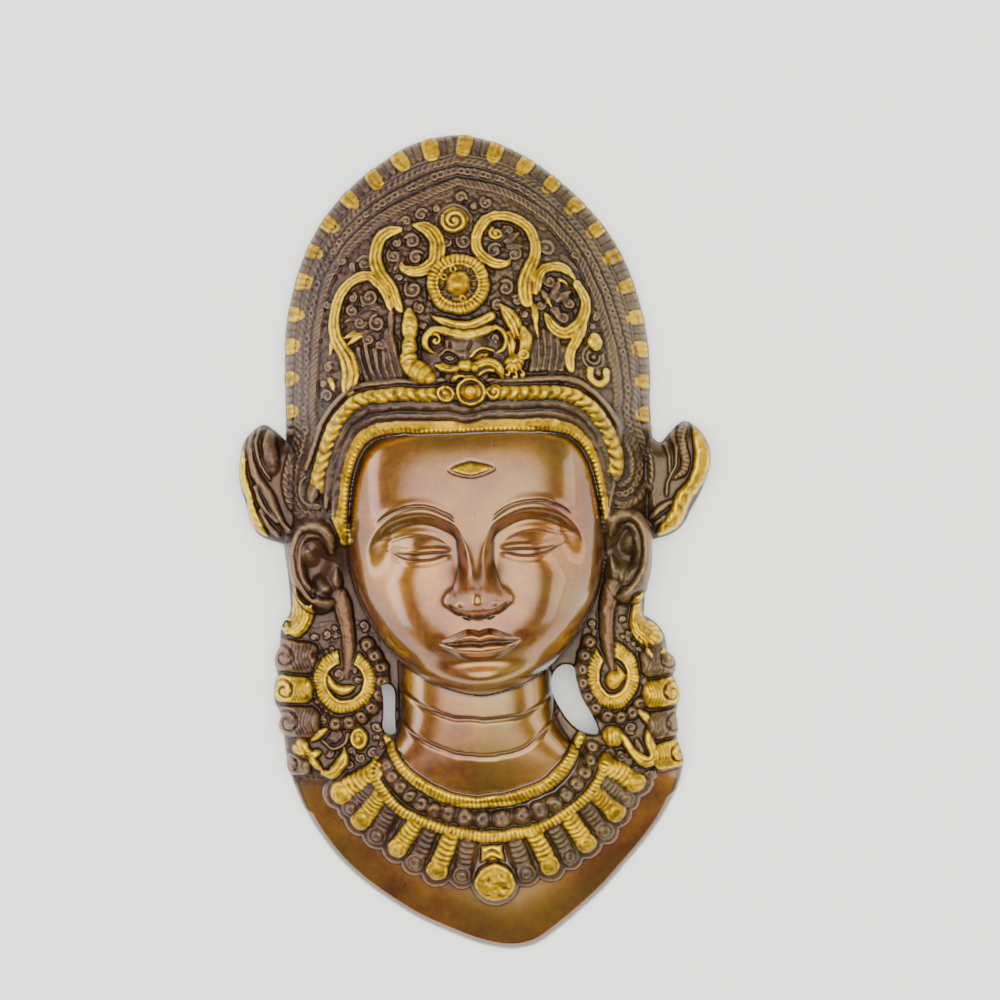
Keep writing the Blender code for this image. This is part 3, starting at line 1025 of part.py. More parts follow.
def patinated_bronze():
    """Brown bronze, with gold paint where the gilding attribute is 1."""
    material = bpy.data.materials.new("patinated_bronze")
    material.use_nodes = True
    nodes = material.node_tree.nodes
    links = material.node_tree.links
    shader = next(n for n in nodes if n.type == "BSDF_PRINCIPLED")
    gilding = nodes.new("ShaderNodeAttribute")
    gilding.attribute_name = "gilding"
    tint = nodes.new("ShaderNodeMix")
    tint.data_type = "RGBA"
    tint.inputs["A"].default_value = linear(BROWN)
    tint.inputs["B"].default_value = linear(GOLD)
    links.new(gilding.outputs["Fac"], tint.inputs["Factor"])
    links.new(tint.outputs["Result"], shader.inputs["Base Color"])
    shader.inputs["Metallic"].default_value = 1.0
    shader.inputs["Roughness"].default_value = 0.4
    return material


def clear_scene():
    for obj in list(bpy.data.objects):
        bpy.data.objects.remove(obj)


def main():
    clear_scene()
    points, faces, gilding = casting()
    mesh = bpy.data.meshes.new("mask")
    mesh.from_pydata((points / 1000.0).tolist(), [], faces.tolist())
    mesh.attributes.new("gilding", "FLOAT", "POINT").data.foreach_set("value", gilding)
    mesh.materials.append(patinated_bronze())
    mask = bpy.data.objects.new("mask", mesh)
    group = bpy.data.collections.new("bronze_mask")
    bpy.context.scene.collection.children.link(group)
    group.objects.link(mask)
    thin_out(mask)


def thin_out(mask):
    """Leaves triangles only where the relief needs them, then trues up rim and size."""
    thin = mask.modifiers.new("thin_out", "DECIMATE")
    thin.ratio = TRIANGLES / len(mask.data.polygons)
    graph = bpy.context.evaluated_depsgraph_get()
    lean = bpy.data.meshes.new_from_object(mask.evaluated_get(graph))
    mask.modifiers.clear()
    mask.data = lean
    lean.name = "mask"
    place = np.empty(len(lean.vertices) * 3, np.float32)
    lean.vertices.foreach_get("co", place)
    place = place.reshape(-1, 3) * 1000.0
    place[:, 2] = np.where(place[:, 2] < FLAT_WITHIN, 0.0, place[:, 2])
    low, high = place.min(0), place.max(0)
    middle = (low + high) / 2 * (1, 1, 0)
    place = (place - middle) * (MASK_WIDTH, MASK_LENGTH, MASK_DEPTH) / (high - low)
    lean.vertices.foreach_set("co", (place / 1000.0).ravel())
    lean.update()


main()
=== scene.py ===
"""Looks of the bronze mask of a crowned goddess, lying on its back.

Z is 0 on the flat rim and rises to the viewer, Y runs to the tip of the crown
and X to the viewer's right. The front is a map of heights over the plan, as in
the solid: broad forms first, then the ornament, down to its beading and
chasing. The map is cut into seven pieces along the mask's own creases, and each
piece is closed by the hollow back and the walls round its edge.
"""
from math import atan2, cos, hypot, pi, sin, sqrt

import bpy
import numpy as np
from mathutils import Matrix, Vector
from mathutils.geometry import delaunay_2d_cdt


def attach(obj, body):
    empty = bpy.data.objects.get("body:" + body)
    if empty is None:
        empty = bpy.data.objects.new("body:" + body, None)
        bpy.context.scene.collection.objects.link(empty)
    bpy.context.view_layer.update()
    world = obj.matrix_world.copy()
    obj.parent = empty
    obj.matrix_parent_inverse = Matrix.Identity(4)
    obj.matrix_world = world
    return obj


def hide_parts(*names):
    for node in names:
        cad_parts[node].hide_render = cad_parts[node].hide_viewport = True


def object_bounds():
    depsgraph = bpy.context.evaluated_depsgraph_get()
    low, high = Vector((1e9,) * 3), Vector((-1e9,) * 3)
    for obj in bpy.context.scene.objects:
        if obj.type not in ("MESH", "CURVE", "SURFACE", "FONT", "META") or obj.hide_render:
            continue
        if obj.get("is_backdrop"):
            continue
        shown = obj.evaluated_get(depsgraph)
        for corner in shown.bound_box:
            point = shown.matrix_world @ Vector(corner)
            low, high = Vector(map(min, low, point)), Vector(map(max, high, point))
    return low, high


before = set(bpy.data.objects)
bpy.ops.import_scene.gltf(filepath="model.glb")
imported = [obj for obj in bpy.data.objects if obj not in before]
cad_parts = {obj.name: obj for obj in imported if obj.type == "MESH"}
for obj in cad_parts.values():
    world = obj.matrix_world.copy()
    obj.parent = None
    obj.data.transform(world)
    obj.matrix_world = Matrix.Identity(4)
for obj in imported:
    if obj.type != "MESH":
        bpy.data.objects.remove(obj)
solid_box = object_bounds()

# Overall sizes, in millimetres
MASK_LENGTH = 350.0
MASK_WIDTH = 202.0
MASK_DEPTH = 73.0
WALL_THICKNESS = 3.5
RIM_HEIGHT = 4.0

# Broad forms, in millimetres
CROWN_SLOPE = 46.0
CHEST_SLOPE = 60.0
HAIR_SLOPE = 13.0
WING_HEIGHT = 7.0
FACE_HALF_WIDTH = 55.0
FACE_MIDDLE = 5.0
FACE_TO_CHIN = 68.0
FACE_TO_BROW = 130.0
FACE_SIDE_HEIGHT = 15.0
NECK_MIDDLE = -3.5

# Ornament, in millimetres
GADROON_PITCH = 3.5
TAB_LENGTH = 9.5
SCROLL_HEIGHT = 3.4
MEDALLION_RADIUS = 13.0
ROPE_WIDTH = 6.2
ROPE_HEIGHT = 7.0
STUD_SIZE = 4.6
PENDANT_WIDTH = 7.6

# The spacing of the height map and of points along the pieces' edges, how many
# cells apart the points of the back are, and the rounding of the rim
CELL = 0.4
EDGE_STEP = 0.6
BACK_EVERY = 4
EDGE_ROUNDING = 1.6
# The camera: sensor and lens in millimetres, place in metres and turn in radians
SENSOR_WIDTH = 36.0
CAMERA_LENS = 75.26
CAMERA_PLACE = (0.01015, 0.0178, 0.9)
CAMERA_TURN = -0.0496
# The height that stands for no metal at all, and a length past any other
NOTHING = -99.0
FAR = 1e9
# How far the height map and the random patterns reach
MAP_HALF_WIDTH = 104.0
MAP_HALF_LENGTH = 178.0
PATTERN_WIDTH = 210
PATTERN_LENGTH = 360


def spline(*stations):
    """A smooth curve through (place, value) stations, as a function."""
    place, value = np.array(sorted(stations), float).T
    gap = np.diff(place)
    rise = np.diff(value) / gap
    count = len(place)
    system = np.eye(count)
    right = np.zeros(count)
    for i in range(1, count - 1):
        system[i, i - 1:i + 2] = gap[i - 1], 2 * (gap[i - 1] + gap[i]), gap[i]
        right[i] = 6 * (rise[i] - rise[i - 1])
    bend = np.linalg.solve(system, right)

    def at(where):
        where = np.clip(where, place[0], place[-1])
        i = np.clip(np.searchsorted(place, where) - 1, 0, count - 2)
        a = place[i + 1] - where
        b = where - place[i]
        g = gap[i]
        curve = (bend[i] * a ** 3 + bend[i + 1] * b ** 3) / (6 * g)
        line = (value[i] / g - bend[i] * g / 6) * a + (value[i + 1] / g - bend[i + 1] * g / 6) * b
        return curve + line

    return at


def ramp(*stations):
    """Like spline, but it never swings past its stations."""
    place, value = np.array(sorted(stations), float).T
    gap = np.diff(place)
    rise = np.diff(value) / gap
    both = rise[:-1] * rise[1:]
    lean = np.where(both > 0, 2 * both / np.where(both > 0, rise[:-1] + rise[1:], 1), 0)
    lean = np.concatenate([[rise[0]], lean, [rise[-1]]])

    def at(where):
        where = np.clip(where, place[0], place[-1])
        i = np.clip(np.searchsorted(place, where) - 1, 0, len(gap) - 1)
        t = (where - place[i]) / gap[i]
        return (value[i] * (1 + 2 * t) * (1 - t) ** 2 + value[i + 1] * t * t * (3 - 2 * t)
                + gap[i] * (lean[i] * t * (1 - t) ** 2 - lean[i + 1] * t * t * (1 - t)))

    return at


def ease(value, low, high):
    """A soft step, from 0 at low to 1 at high."""
    t = np.clip((value - low) / (high - low), 0, 1)
    return t * t * (3 - 2 * t)


def rounded(t):
    """A quarter round: 0 at t = 0, 1 from t = 1 on."""
    return 1 - (1 - np.clip(t, 0, 1)) ** 2


def bell(t):
    return np.where(np.abs(t) < 1, (1 - np.clip(t * t, 0, 1)) ** 2, 0)


def wave(t):
    return 0.5 - 0.5 * np.cos(2 * pi * t)


def flow(points, step=1.0, closed=False):
    """A smooth line through points, resampled evenly."""
    p = np.array(points, float)
    if closed:
        p = np.vstack([p[-1], p, p[0], p[1]])
    else:
        p = np.vstack([2 * p[0] - p[1], p, 2 * p[-1] - p[-2]])
    t = np.linspace(0, 1, 12, endpoint=False)[:, None]
    parts = []
    for a, b, c, d in zip(p[:-3], p[1:-2], p[2:-1], p[3:]):
        parts.append(0.5 * (2 * b + (c - a) * t + (2 * a - 5 * b + 4 * c - d) * t ** 2
                            + (3 * b - a - 3 * c + d) * t ** 3))
    parts.append(p[-2:-1])
    return evenly(np.vstack(parts), step)


def evenly(points, step):
    run = lengths(points)
    s = np.linspace(0, run[-1], max(2, int(round(run[-1] / step)) + 1))
    return np.stack([np.interp(s, run, points[:, k]) for k in (0, 1)], 1)


def lengths(line):
    return np.concatenate([[0], np.cumsum(np.hypot(*np.diff(line, axis=0).T))])


def along(line, s):
    """The point at a length s along a line, and the direction there."""
    run = lengths(line)
    spots = [max(0, s - 0.6), s, min(run[-1], s + 0.6)]
    behind, here, ahead = np.stack([np.interp(spots, run, line[:, k]) for k in (0, 1)], 1)
    way = ahead - behind
    return here, atan2(way[1], way[0])


def rails(first, second, count):
    """Two lines, each as so many points at even shares of its length."""
    pair = []
    for line in (first, second):
        run = lengths(line) / lengths(line)[-1]
        pair.append(np.stack([np.interp(np.linspace(0, 1, count), run, line[:, k]) for k in (0, 1)], 1))
    return pair


def polar(centre, out, turn, stretch=1):
    """The point at a distance and a turn from a centre."""
    return centre[0] + out * cos(turn), centre[1] + out * stretch * sin(turn)


def taper(run, total, tips, fade):
    """How much of its width a strip keeps along its run, from one tip to the other."""
    return np.minimum(
        tips[0] + (1 - tips[0]) * rounded(run / fade),
        tips[1] + (1 - tips[1]) * rounded((total - run) / fade))


def blend(values, i, j, a, b):
    """A map's values between its cells: a share a past row i, and b past column j."""
    low = values[i, j] * (1 - b) + values[i, j + 1] * b
    high = values[i + 1, j] * (1 - b) + values[i + 1, j + 1] * b
    return low * (1 - a) + high * a


# The outline, from the left notch over the crown and round, clockwise. Each run
# is smooth, and the runs meet at the notches.
CROWN_RUN = [
    (-79.5, 47.5), (-79, 57), (-78.6, 75), (-77, 96), (-72.5, 114), (-66, 130), (-56.5, 144.5),
    (-45, 156), (-33, 164.5), (-19, 172), (0, 175), (17.5, 170.5), (34, 160.8), (48, 148.5),
    (60, 134.5), (68.5, 119.5), (74, 103), (77.3, 85), (77.8, 68), (77, 55), (77.5, 41.5)]
RIGHT_WING_RUN = [
    (77.5, 41.5), (81, 39.2), (85.5, 43.5), (91.5, 47.8), (97.5, 43.5), (101.3, 36), (101.3, 28),
    (98, 19), (93, 10.5), (88.5, 3.2), (83, -0.5), (74.3, -2.5)]
RIGHT_HAIR_RUNS = [[(74.3, -2.5), (73.6, -13), (71.5, -22), (70, -34.5)],
                   [(70, -34.5), (75.5, -38.5), (78.5, -44), (78.8, -50)],
                   [(78.8, -50), (82, -53.5), (82.3, -58), (81, -61.3)],
                   [(81, -61.3), (83, -66), (83.2, -71), (81.4, -77)],
                   [(81.4, -77), (82, -83), (81.5, -88), (83.4, -95), (83.6, -100)]]
CHEST_RUN = [
    (83.6, -100), (81, -108.5), (76.5, -117), (71, -125.2), (64, -133.5), (56, -142), (47.5, -150.8),
    (38.5, -158.5), (28.5, -166.2), (17.5, -173.2), (6, -175), (-6.5, -172.3), (-19, -167),
    (-33, -159.8), (-46, -150.8), (-57, -141.8), (-66, -132.2), (-73, -122.2), (-78.5, -112.2),
    (-82.8, -101), (-85.5, -91)]
LEFT_HAIR_RUNS = [
    [(-85.5, -91), (-86.3, -84), (-86.6, -78)], [(-86.6, -78), (-88.5, -74.5), (-86.8, -69.3)],
    [(-86.8, -69.3), (-89.8, -64), (-89.8, -58), (-88, -52.5)],
    [(-88, -52.5), (-88.8, -48), (-88.2, -43.5), (-86, -39.8)],
    [(-86, -39.8), (-86, -34), (-83.8, -29.5), (-81.3, -25), (-81.3, -14), (-81.9, -5), (-82.6, 3.4)]]
LEFT_WING_RUN = [
    (-82.6, 3.4), (-92, 7.2), (-95.8, 12.5), (-97.6, 20), (-100, 29.5), (-100, 38), (-98, 46.5),
    (-93.5, 52.5), (-88.5, 55), (-84, 52), (-79.5, 47.5)]
# The openings seen beside the neck
LEFT_GAP = [
    (-43.3, -58.5), (-40, -58), (-37.8, -61.5), (-38.2, -70), (-38.6, -78.6), (-42, -79.2),
    (-43.8, -76), (-43.2, -70.5), (-43, -64)]
RIGHT_GAP = [
    (30, -56.5), (28.8, -62), (30.5, -69), (35, -77), (40, -81.8), (46.5, -83.8), (47.8, -81.5),
    (45, -74.5), (41.6, -68), (39.6, -60.5), (38.5, -54.5), (34, -53.5)]


# Where the body ends under the two wings, which are thinner flaps
RIGHT_SIDE = [(77.5, 41.5), (76.5, 20), (74.3, -2.5)]
LEFT_SIDE = [(-82.6, 3.4), (-81.5, 25), (-79.5, 47.5)]


def outline(step, right=RIGHT_WING_RUN, left=LEFT_WING_RUN):
    runs = [CROWN_RUN, right] + RIGHT_HAIR_RUNS + [CHEST_RUN] + LEFT_HAIR_RUNS + [left]
    return np.vstack([flow(run, step)[:-1] for run in runs])[::-1]


def inside(line, x, y):
    """Which points of a grid with columns x and rows y lie inside a closed line."""
    found = np.zeros((len(y), len(x)), bool)
    ax, ay = line.T
    bx, by = np.roll(line, -1, axis=0).T
    for i, level in enumerate(y):
        hit = (ay > level) != (by > level)
        cuts = np.sort(ax[hit] + (level - ay[hit]) / (by[hit] - ay[hit]) * (bx[hit] - ax[hit]))
        for low, high in zip(cuts[0::2], cuts[1::2]):
            found[i, np.searchsorted(x, low):np.searchsorted(x, high)] = True
    return found


class Relief:
    """The mask's front as a map, modelled as in wax: broad height, ornament on it, and gilding."""

    def __init__(self, cell):
        self.cell = cell
        self.x = np.arange(-MAP_HALF_WIDTH, MAP_HALF_WIDTH + cell, cell)
        self.y = np.arange(-MAP_HALF_LENGTH, MAP_HALF_LENGTH + cell, cell)
        shape = (len(self.y), len(self.x))
        self.base = np.full(shape, RIM_HEIGHT)
        self.rise = np.zeros(shape)
        self.gilt = np.zeros(shape)
        self.shine = np.zeros(shape)
        self.polished = 0

    def window(self, low, high):
        i = np.searchsorted(self.y, [low[1], high[1]])
        j = np.searchsorted(self.x, [low[0], high[0]])
        at = (slice(i[0], i[1] + 1), slice(j[0], j[1] + 1))
        return at, self.x[at[1]][None, :], self.y[at[0]][:, None]

    def near(self, line, reach):
        """A window round a line: distance, signed distance (+ left) and run along it."""
        line = np.asarray(line, float)
        at, x, y = self.window(line.min(0) - reach, line.max(0) + reach)
        shape = (y.size, x.size)
        away = np.full(shape, FAR)
        side = np.ones(shape)
        run = np.zeros(shape)
        start = 0
        for a, b in zip(line[:-1], line[1:]):
            size = hypot(*(b - a))
            if size < 1e-9:
                continue
            low = np.minimum(a, b) - reach
            high = np.maximum(a, b) + reach
            i = slice(*np.searchsorted(y[:, 0], [low[1], high[1]]))
            j = slice(*np.searchsorted(x[0], [low[0], high[0]]))
            dx, dy = (b - a) / size
            px, py = x[:, j] - a[0], y[i] - a[1]
            t = np.clip(px * dx + py * dy, 0, size)
            gap = (px - t * dx) ** 2 + (py - t * dy) ** 2
            closer = gap < away[i, j]
            away[i, j][closer] = gap[closer]
            side[i, j][closer] = np.sign(dx * py - dy * px + 1e-12)[closer]
            run[i, j][closer] = (start + t)[closer]
            start += size
        away = np.sqrt(away)
        return at, away, away * side, run

    def frame(self, centre, angle, reach):
        """A window round a point, with coordinates along and across an angle."""
        centre = np.asarray(centre, float)
        at, x, y = self.window(centre - reach, centre + reach)
        dx, dy = x - centre[0], y - centre[1]
        c, s = cos(angle), sin(angle)
        return at, dx * c + dy * s, dy * c - dx * s

    def lay(self, at, height, gilt=0):
        """Lays a shape over the ornament where it is the higher, gilded or plain."""
        over = (height > self.rise[at]) & (height > 0)
        self.rise[at][over] = height[over]
        self.gilt[at][over] = gilt
        self.shine[at][over] = self.polished

    def ribbon(self, points, width, height, gilt=0, tips=(1, 1), fade=6, full=2, lines=0,
               cut=0.7, pitch=0, bite=0.6, slant=0, bow=0):
        """A raised strip along a line.

        Its width may change along it and narrow at its ends, its top is rounder or
        flatter, and it may be engraved along its length and notched into lobes.
        """
        widths = np.atleast_1d(width)
        line = flow(points, min(0.8, widths.min() / 4))
        at, _, across, run = self.near(line, widths.max() / 2 + self.cell)
        total = lengths(line)[-1]
        share = taper(run, total, tips, fade)
        half = np.interp(run / total, np.linspace(0, 1, len(widths)), widths) / 2 * share
        t = across / half
        shape = height * (0.45 + 0.55 * share) * np.sqrt(np.clip(1 - np.abs(t) ** full, 0, 1))
        for k in range(lines):
            place = -1 + 2 * (k + 1) / (lines + 1)
            shape = shape - cut * bell((t - place) * half / 0.62) * share
        if pitch:
            lobe = ((run + slant * across + bow * t * t) / pitch) % 1
            shape = shape * np.sqrt(1 - bite * (2 * lobe - 1) ** 2)
        self.lay(at, np.where(np.abs(t) < 1, shape, -1), gilt)

    def cord(self, points, width, height, gilt=0, tip=1, **cuts):
        """A round ridge along a line, whose far end may narrow."""
        self.ribbon(points, width, height, gilt, (1, tip), 1.5 * width + 3, **cuts)

    def strap(self, points, width, lift, tips=(1, 1)):
        """A plain strip that bridges what lies under it, straight in height from end to end."""
        widths = np.atleast_1d(width)
        line = flow(points, 0.8)
        at, _, across, run = self.near(line, widths.max() / 2 + self.cell)
        share = run / lengths(line)[-1]
        ends = line[[0, -1]]
        high = [self.value_at(self.rise, end) + self.value_at(self.base, end) for end in ends]
        half = np.interp(share, np.linspace(0, 1, len(widths)), widths) / 2 * taper(share, 1, tips, 0.1)
        t = across / half
        top = high[0] * (1 - share) + high[1] * share + lift
        shape = top - 3 * (1 - np.sqrt(np.clip(1 - np.abs(t) ** 2.2, 0, 1))) - self.base[at]
        self.lay(at, np.where(np.abs(t) < 1, shape, -1))

    def fold(self, points, width, height, gilt=0, tips=(0.4, 0.4), fade=8):
        """A soft swelling along a line, which melts into what lies beside it."""
        line = flow(points, 0.8)
        at, away, _, run = self.near(line, width)
        total = lengths(line)[-1]
        share = taper(run, total, tips, fade)
        swell = height * share * bell(away / (width * share)) * ease(away / width, 1, 0.9)
        under = self.rise[at]
        self.rise[at] = np.maximum(under, 0) * (1 - bell(away / width)) + swell + np.minimum(under, 0)
        self.gilt[at][away < width * 0.7] = gilt

    def blob(self, centre, long, wide, height, gilt=0, angle=0, power=0.5, point=0):
        """A rounded oval, or a drop whose far end is pointed."""
        at, u, v = self.frame(centre, angle, max(long, wide) / 2 + self.cell)
        u = 2 * u / long
        v = 2 * v / wide / np.clip(1 - point * (1 + u) / 2, 0.05, 1)
        r2 = u * u + v * v
        self.lay(at, np.where(r2 < 1, height * np.clip(1 - r2, 0, 1) ** power, -1), gilt)

    def roll(self, centre, long, wide, height, gilt=0, angle=0):
        """A short fat roll with full ends, like a lock of hair seen from above."""
        at, u, v = self.frame(centre, angle, hypot(long, wide) / 2 + self.cell)
        u, v = np.abs(2 * u / long), np.abs(2 * v / wide)
        t = (u ** 4 + v ** 2.6) ** 0.5
        self.lay(at, np.where(t < 1, height * np.sqrt(np.clip(1 - t * t, 0, 1)), -1), gilt)

    def block(self, centre, long, wide, height, gilt=0, angle=0, edge=0.8):
        """A rounded rectangle."""
        at, u, v = self.frame(centre, angle, hypot(long, wide) / 2 + self.cell)
        inner = np.minimum(long / 2 - np.abs(u), wide / 2 - np.abs(v))
        self.lay(at, np.where(inner > 0, height * rounded(inner / edge), -1), gilt)

    def ring(self, centre, radius, width, height, gilt=0, stretch=1, teeth=0, gap=None, full=2):
        """A ring, which may be an upright oval, toothed, and open between two angles."""
        at, u, v = self.frame(centre, 0, radius * max(1, stretch) + width + self.cell)
        v = v / stretch
        turn = np.arctan2(v, u)
        t = np.abs(np.hypot(u, v) - radius) / (width / 2)
        shape = np.where(t < 1, height * np.sqrt(np.clip(1 - t ** full, 0, 1)), -1)
        if teeth:
            tooth = (turn * teeth / (2 * pi)) % 1
            shape = shape * np.sqrt(1 - 0.6 * (2 * tooth - 1) ** 2)
        if gap is not None:
            off = np.abs((turn - gap[0] + pi) % (2 * pi) - pi)
            shape = np.where(off > gap[1], shape, -1)
        self.lay(at, shape, gilt)

    def curl(self, centre, radius, start, hand=1, gilt=0, height=2.4, turns=1.5, share=0.5):
        """A bulky tendril that winds in from its rim to a round bud, over a sunk ground."""
        self.dent(centre, radius * 1.1, 0.8)
        t = np.linspace(0, 1, 26)
        angle = start + hand * turns * 2 * pi * t
        r = radius * (1 - 0.72 * t) - radius * share * 0.3
        line = np.stack([centre[0] + r * np.cos(angle), centre[1] + r * np.sin(angle)], 1)
        self.ribbon(line, radius * share, height, gilt, (0.7, 0.9), radius)
        self.blob(centre, radius * 0.5, radius * 0.5, height * 1.15, gilt)

    def stuff(self, region, sizes, height, seed):
        """Fills what ground is left bare in a region with little curls, the largest first."""
        chance = np.random.default_rng(seed)
        rows, columns = np.nonzero(region)
        for size in sizes:
            for pick in chance.integers(0, len(rows), 900):
                spot = (self.x[columns[pick]], self.y[rows[pick]])
                at, u, v = self.frame(spot, 0, size)
                taken = (self.rise[at] > 1.2) | ~region[at]
                if not taken[np.hypot(u, v) < size].any():
                    self.curl(spot, size * 0.96, chance.uniform(0, 6.3), chance.choice((-1, 1)),
                              height=height)

    def groove(self, points, width, depth, fade=0):
        """An engraved line."""
        line = flow(points, 0.6)
        at, away, _, run = self.near(line, width + self.cell)
        cut = depth * bell(away / width)
        if fade:
            total = lengths(line)[-1]
            cut = cut * ease(run, 0, fade) * ease(total - run, 0, fade)
        self.rise[at] -= cut

    def dent(self, centre, radius, depth, stretch=1):
        """A round hollow with soft sides."""
        at, u, v = self.frame(centre, 0, radius * max(1, stretch) + 1)
        self.rise[at] -= depth * ease(radius - np.hypot(u, v / stretch), 0, radius * 0.6)

    def value_at(self, values, spot):
        """What one of the maps says at a point."""
        return float(values[np.searchsorted(self.y, spot[1]), np.searchsorted(self.x, spot[0])])

    def cloud(self, size, seed):
        """Smooth random values about 0, whose spots are so many millimetres across."""
        rows, columns = int(PATTERN_LENGTH / size) + 4, int(PATTERN_WIDTH / size) + 4
        values = np.random.default_rng(seed).uniform(-1, 1, (rows, columns))
        parts = []
        for places in (self.y, self.x):
            u = (places - places[0]) / size
            i = u.astype(int)
            f = u - i
            parts.append((i, f * f * (3 - 2 * f)))
        (i, a), (j, b) = parts
        return blend(values, i[:, None], j[None, :], a[:, None], b[None, :])

    def pebbles(self, region, size, height, level, seed):
        """Covers a region with small uneven bumps, as the mould's modelling tool left them."""
        rows, columns = int(PATTERN_LENGTH / size) + 6, int(PATTERN_WIDTH / size) + 6
        jitter = np.random.default_rng(seed).uniform(0.1, 0.9, (rows, columns, 2))
        u = (self.x - self.x[0]) / size + 1
        v = (self.y - self.y[0]) / size + 1
        i, j = v.astype(int), u.astype(int)
        near = np.full(region.shape, 9.0)
        for a in (-1, 0, 1):
            for b in (-1, 0, 1):
                spot = jitter[(i + a)[:, None], (j + b)[None, :]]
                dx = (j + b)[None, :] + spot[..., 0] - u[None, :]
                dy = (i + a)[:, None] + spot[..., 1] - v[:, None]
                near = np.minimum(near, dx * dx + dy * dy)
        bump = level + height * np.sqrt(np.clip(1 - near / 0.42, 0, 1))
        self.rise = np.where(region & (self.rise <= 0), bump, self.rise)

    def warp(self, reach, size, seed):
        """Shifts the ornament a little this way and that, as modelled by hand."""
        rows, columns = self.rise.shape
        v = np.arange(rows)[:, None] + self.cloud(size, seed) * reach / self.cell
        u = np.arange(columns)[None, :] + self.cloud(size, seed + 1) * reach / self.cell
        i, j = np.clip(v.astype(int), 0, rows - 2), np.clip(u.astype(int), 0, columns - 2)
        a, b = np.clip(v - i, 0, 1), np.clip(u - j, 0, 1)
        for name in ("rise", "gilt", "shine"):
            setattr(self, name, blend(getattr(self, name), i, j, a, b))

    def soften(self):
        """Rounds every edge a little, as casting and polishing do."""
        for axis in (0, 1):
            ahead, behind = (np.roll(self.rise, step, axis) for step in (1, -1))
            self.rise = (4 * self.rise + ahead + behind) / 6


def face_profile():
    """Height of the face down its middle line, without nose and lips."""
    return spline(
        (60, 34), (50, 42), (44, 46.5), (35, 51), (25, 54.5), (14, 57), (5, 56.5), (-5, 56), (-15, 57),
        (-25, 58.5), (-34, 59.5), (-42, 58), (-48, 55.5), (-53, 54.5), (-57, 51), (-60, 45), (-62, 38),
        (-64, 28))


def face_form(x, y):
    """The head under the crown: a calm egg with brow, eyes, nose, lips and chin."""
    reach = np.where(y > FACE_MIDDLE, FACE_TO_BROW, FACE_TO_CHIN)
    up = np.clip(np.abs(y - FACE_MIDDLE) / reach, 0, 0.999)
    half = FACE_HALF_WIDTH * np.sqrt(1 - up ** 2)
    middle = face_profile()(y)
    t = np.clip(np.abs(x) / np.maximum(half, 0.5), 0, 1)
    section = (1 - t ** (2.25 + 0.9 * ease(y, 5, 35))) ** 0.52
    z = FACE_SIDE_HEIGHT + (middle - FACE_SIDE_HEIGHT) * section
    z = np.where((np.abs(x) < half) & (y > FACE_MIDDLE - FACE_TO_CHIN) & (y < 58), z, 0)
    return z


# The edge of the brow, over either eye
BROW_ARC = [
    (0, -5), (3.2, 0.5), (6, 6), (11, 10.5), (18, 13.6), (26, 14), (34, 11.6), (41, 7), (48, 0),
    (60, -12)]


def face_features(x, y):
    """What the features add to the egg of the face."""
    ax = np.abs(x)
    z = np.zeros(np.broadcast(x, y).shape)
    # Sockets: a crisp brow edge above, melting into the cheek below
    brow = spline(*BROW_ARC)(ax)
    below = (brow - y) / 20
    fall = ease(below, -0.04, 0.30) * (1 - ease(below, 0.42, 1.30))
    across = ease(ax, 2.5, 9) * (1 - ease(ax, 34, 47))
    z -= 4.6 * fall * across
    z += 0.9 * bell((y - brow - 1) / 6) * ease(ax, 3, 9) * (1 - ease(ax, 36, 46))
    # Cheeks and the fullness round the mouth
    z += 2.4 * np.exp(-((ax - 26) / 13) ** 2 - ((y + 18) / 13) ** 2)
    z += 2.6 * np.exp(-(x / 15) ** 2 - ((y + 37) / 9.5) ** 2)
    # Chin and the hollow over it
    z += 3.6 * np.exp(-(x / 10.5) ** 2 - ((y + 54) / 6.5) ** 2)
    z -= 1.5 * np.exp(-(x / 12) ** 2 - ((y + 47.8) / 2.8) ** 2)
    return z


def nose(x, y):
    """The nose above the face: a straight ridge, a rounded tip and two wings."""
    ax = np.abs(x)
    high = ramp((14, 0), (7, 0.9), (2, 2.4), (-4, 4.7), (-10, 7.1), (-16, 9.6), (-20, 11),
                (-22.5, 11), (-25, 9.4), (-27.2, 5.6), (-29.2, 2), (-32, 0))(y)
    half = ramp((14, 12), (7, 8.6), (0, 7.2), (-6, 7.4), (-12, 8.6), (-18, 10.4), (-23, 11.6),
                (-27, 10.4), (-32, 7))(y)
    ridge = high * np.cos(0.5 * pi * np.clip(ax / half, 0, 1)) ** 1.3
    ball = 10.4 * np.exp(-1.25 * ((ax / 7.2) ** 2 + ((y + 21) / 7.6) ** 2))
    wing = 6 * np.exp(-1.2 * (((ax - 8.4) / 4.6) ** 2 + ((y + 23.4) / 5.4) ** 2))
    # A soft sum, in which the highest form wins and the joins melt together
    sharp = 2
    both = (ridge ** sharp + ball ** sharp + wing ** sharp) ** (1 / sharp)
    low = -29.4 + 0.035 * np.minimum(ax, 12) ** 2
    both = both * ease(y - low, -1.6, 3)
    pit = 1.5 * bell((ax - 5) / 2.8) * bell((y - low - 0.2) / 1.5)
    return both - pit


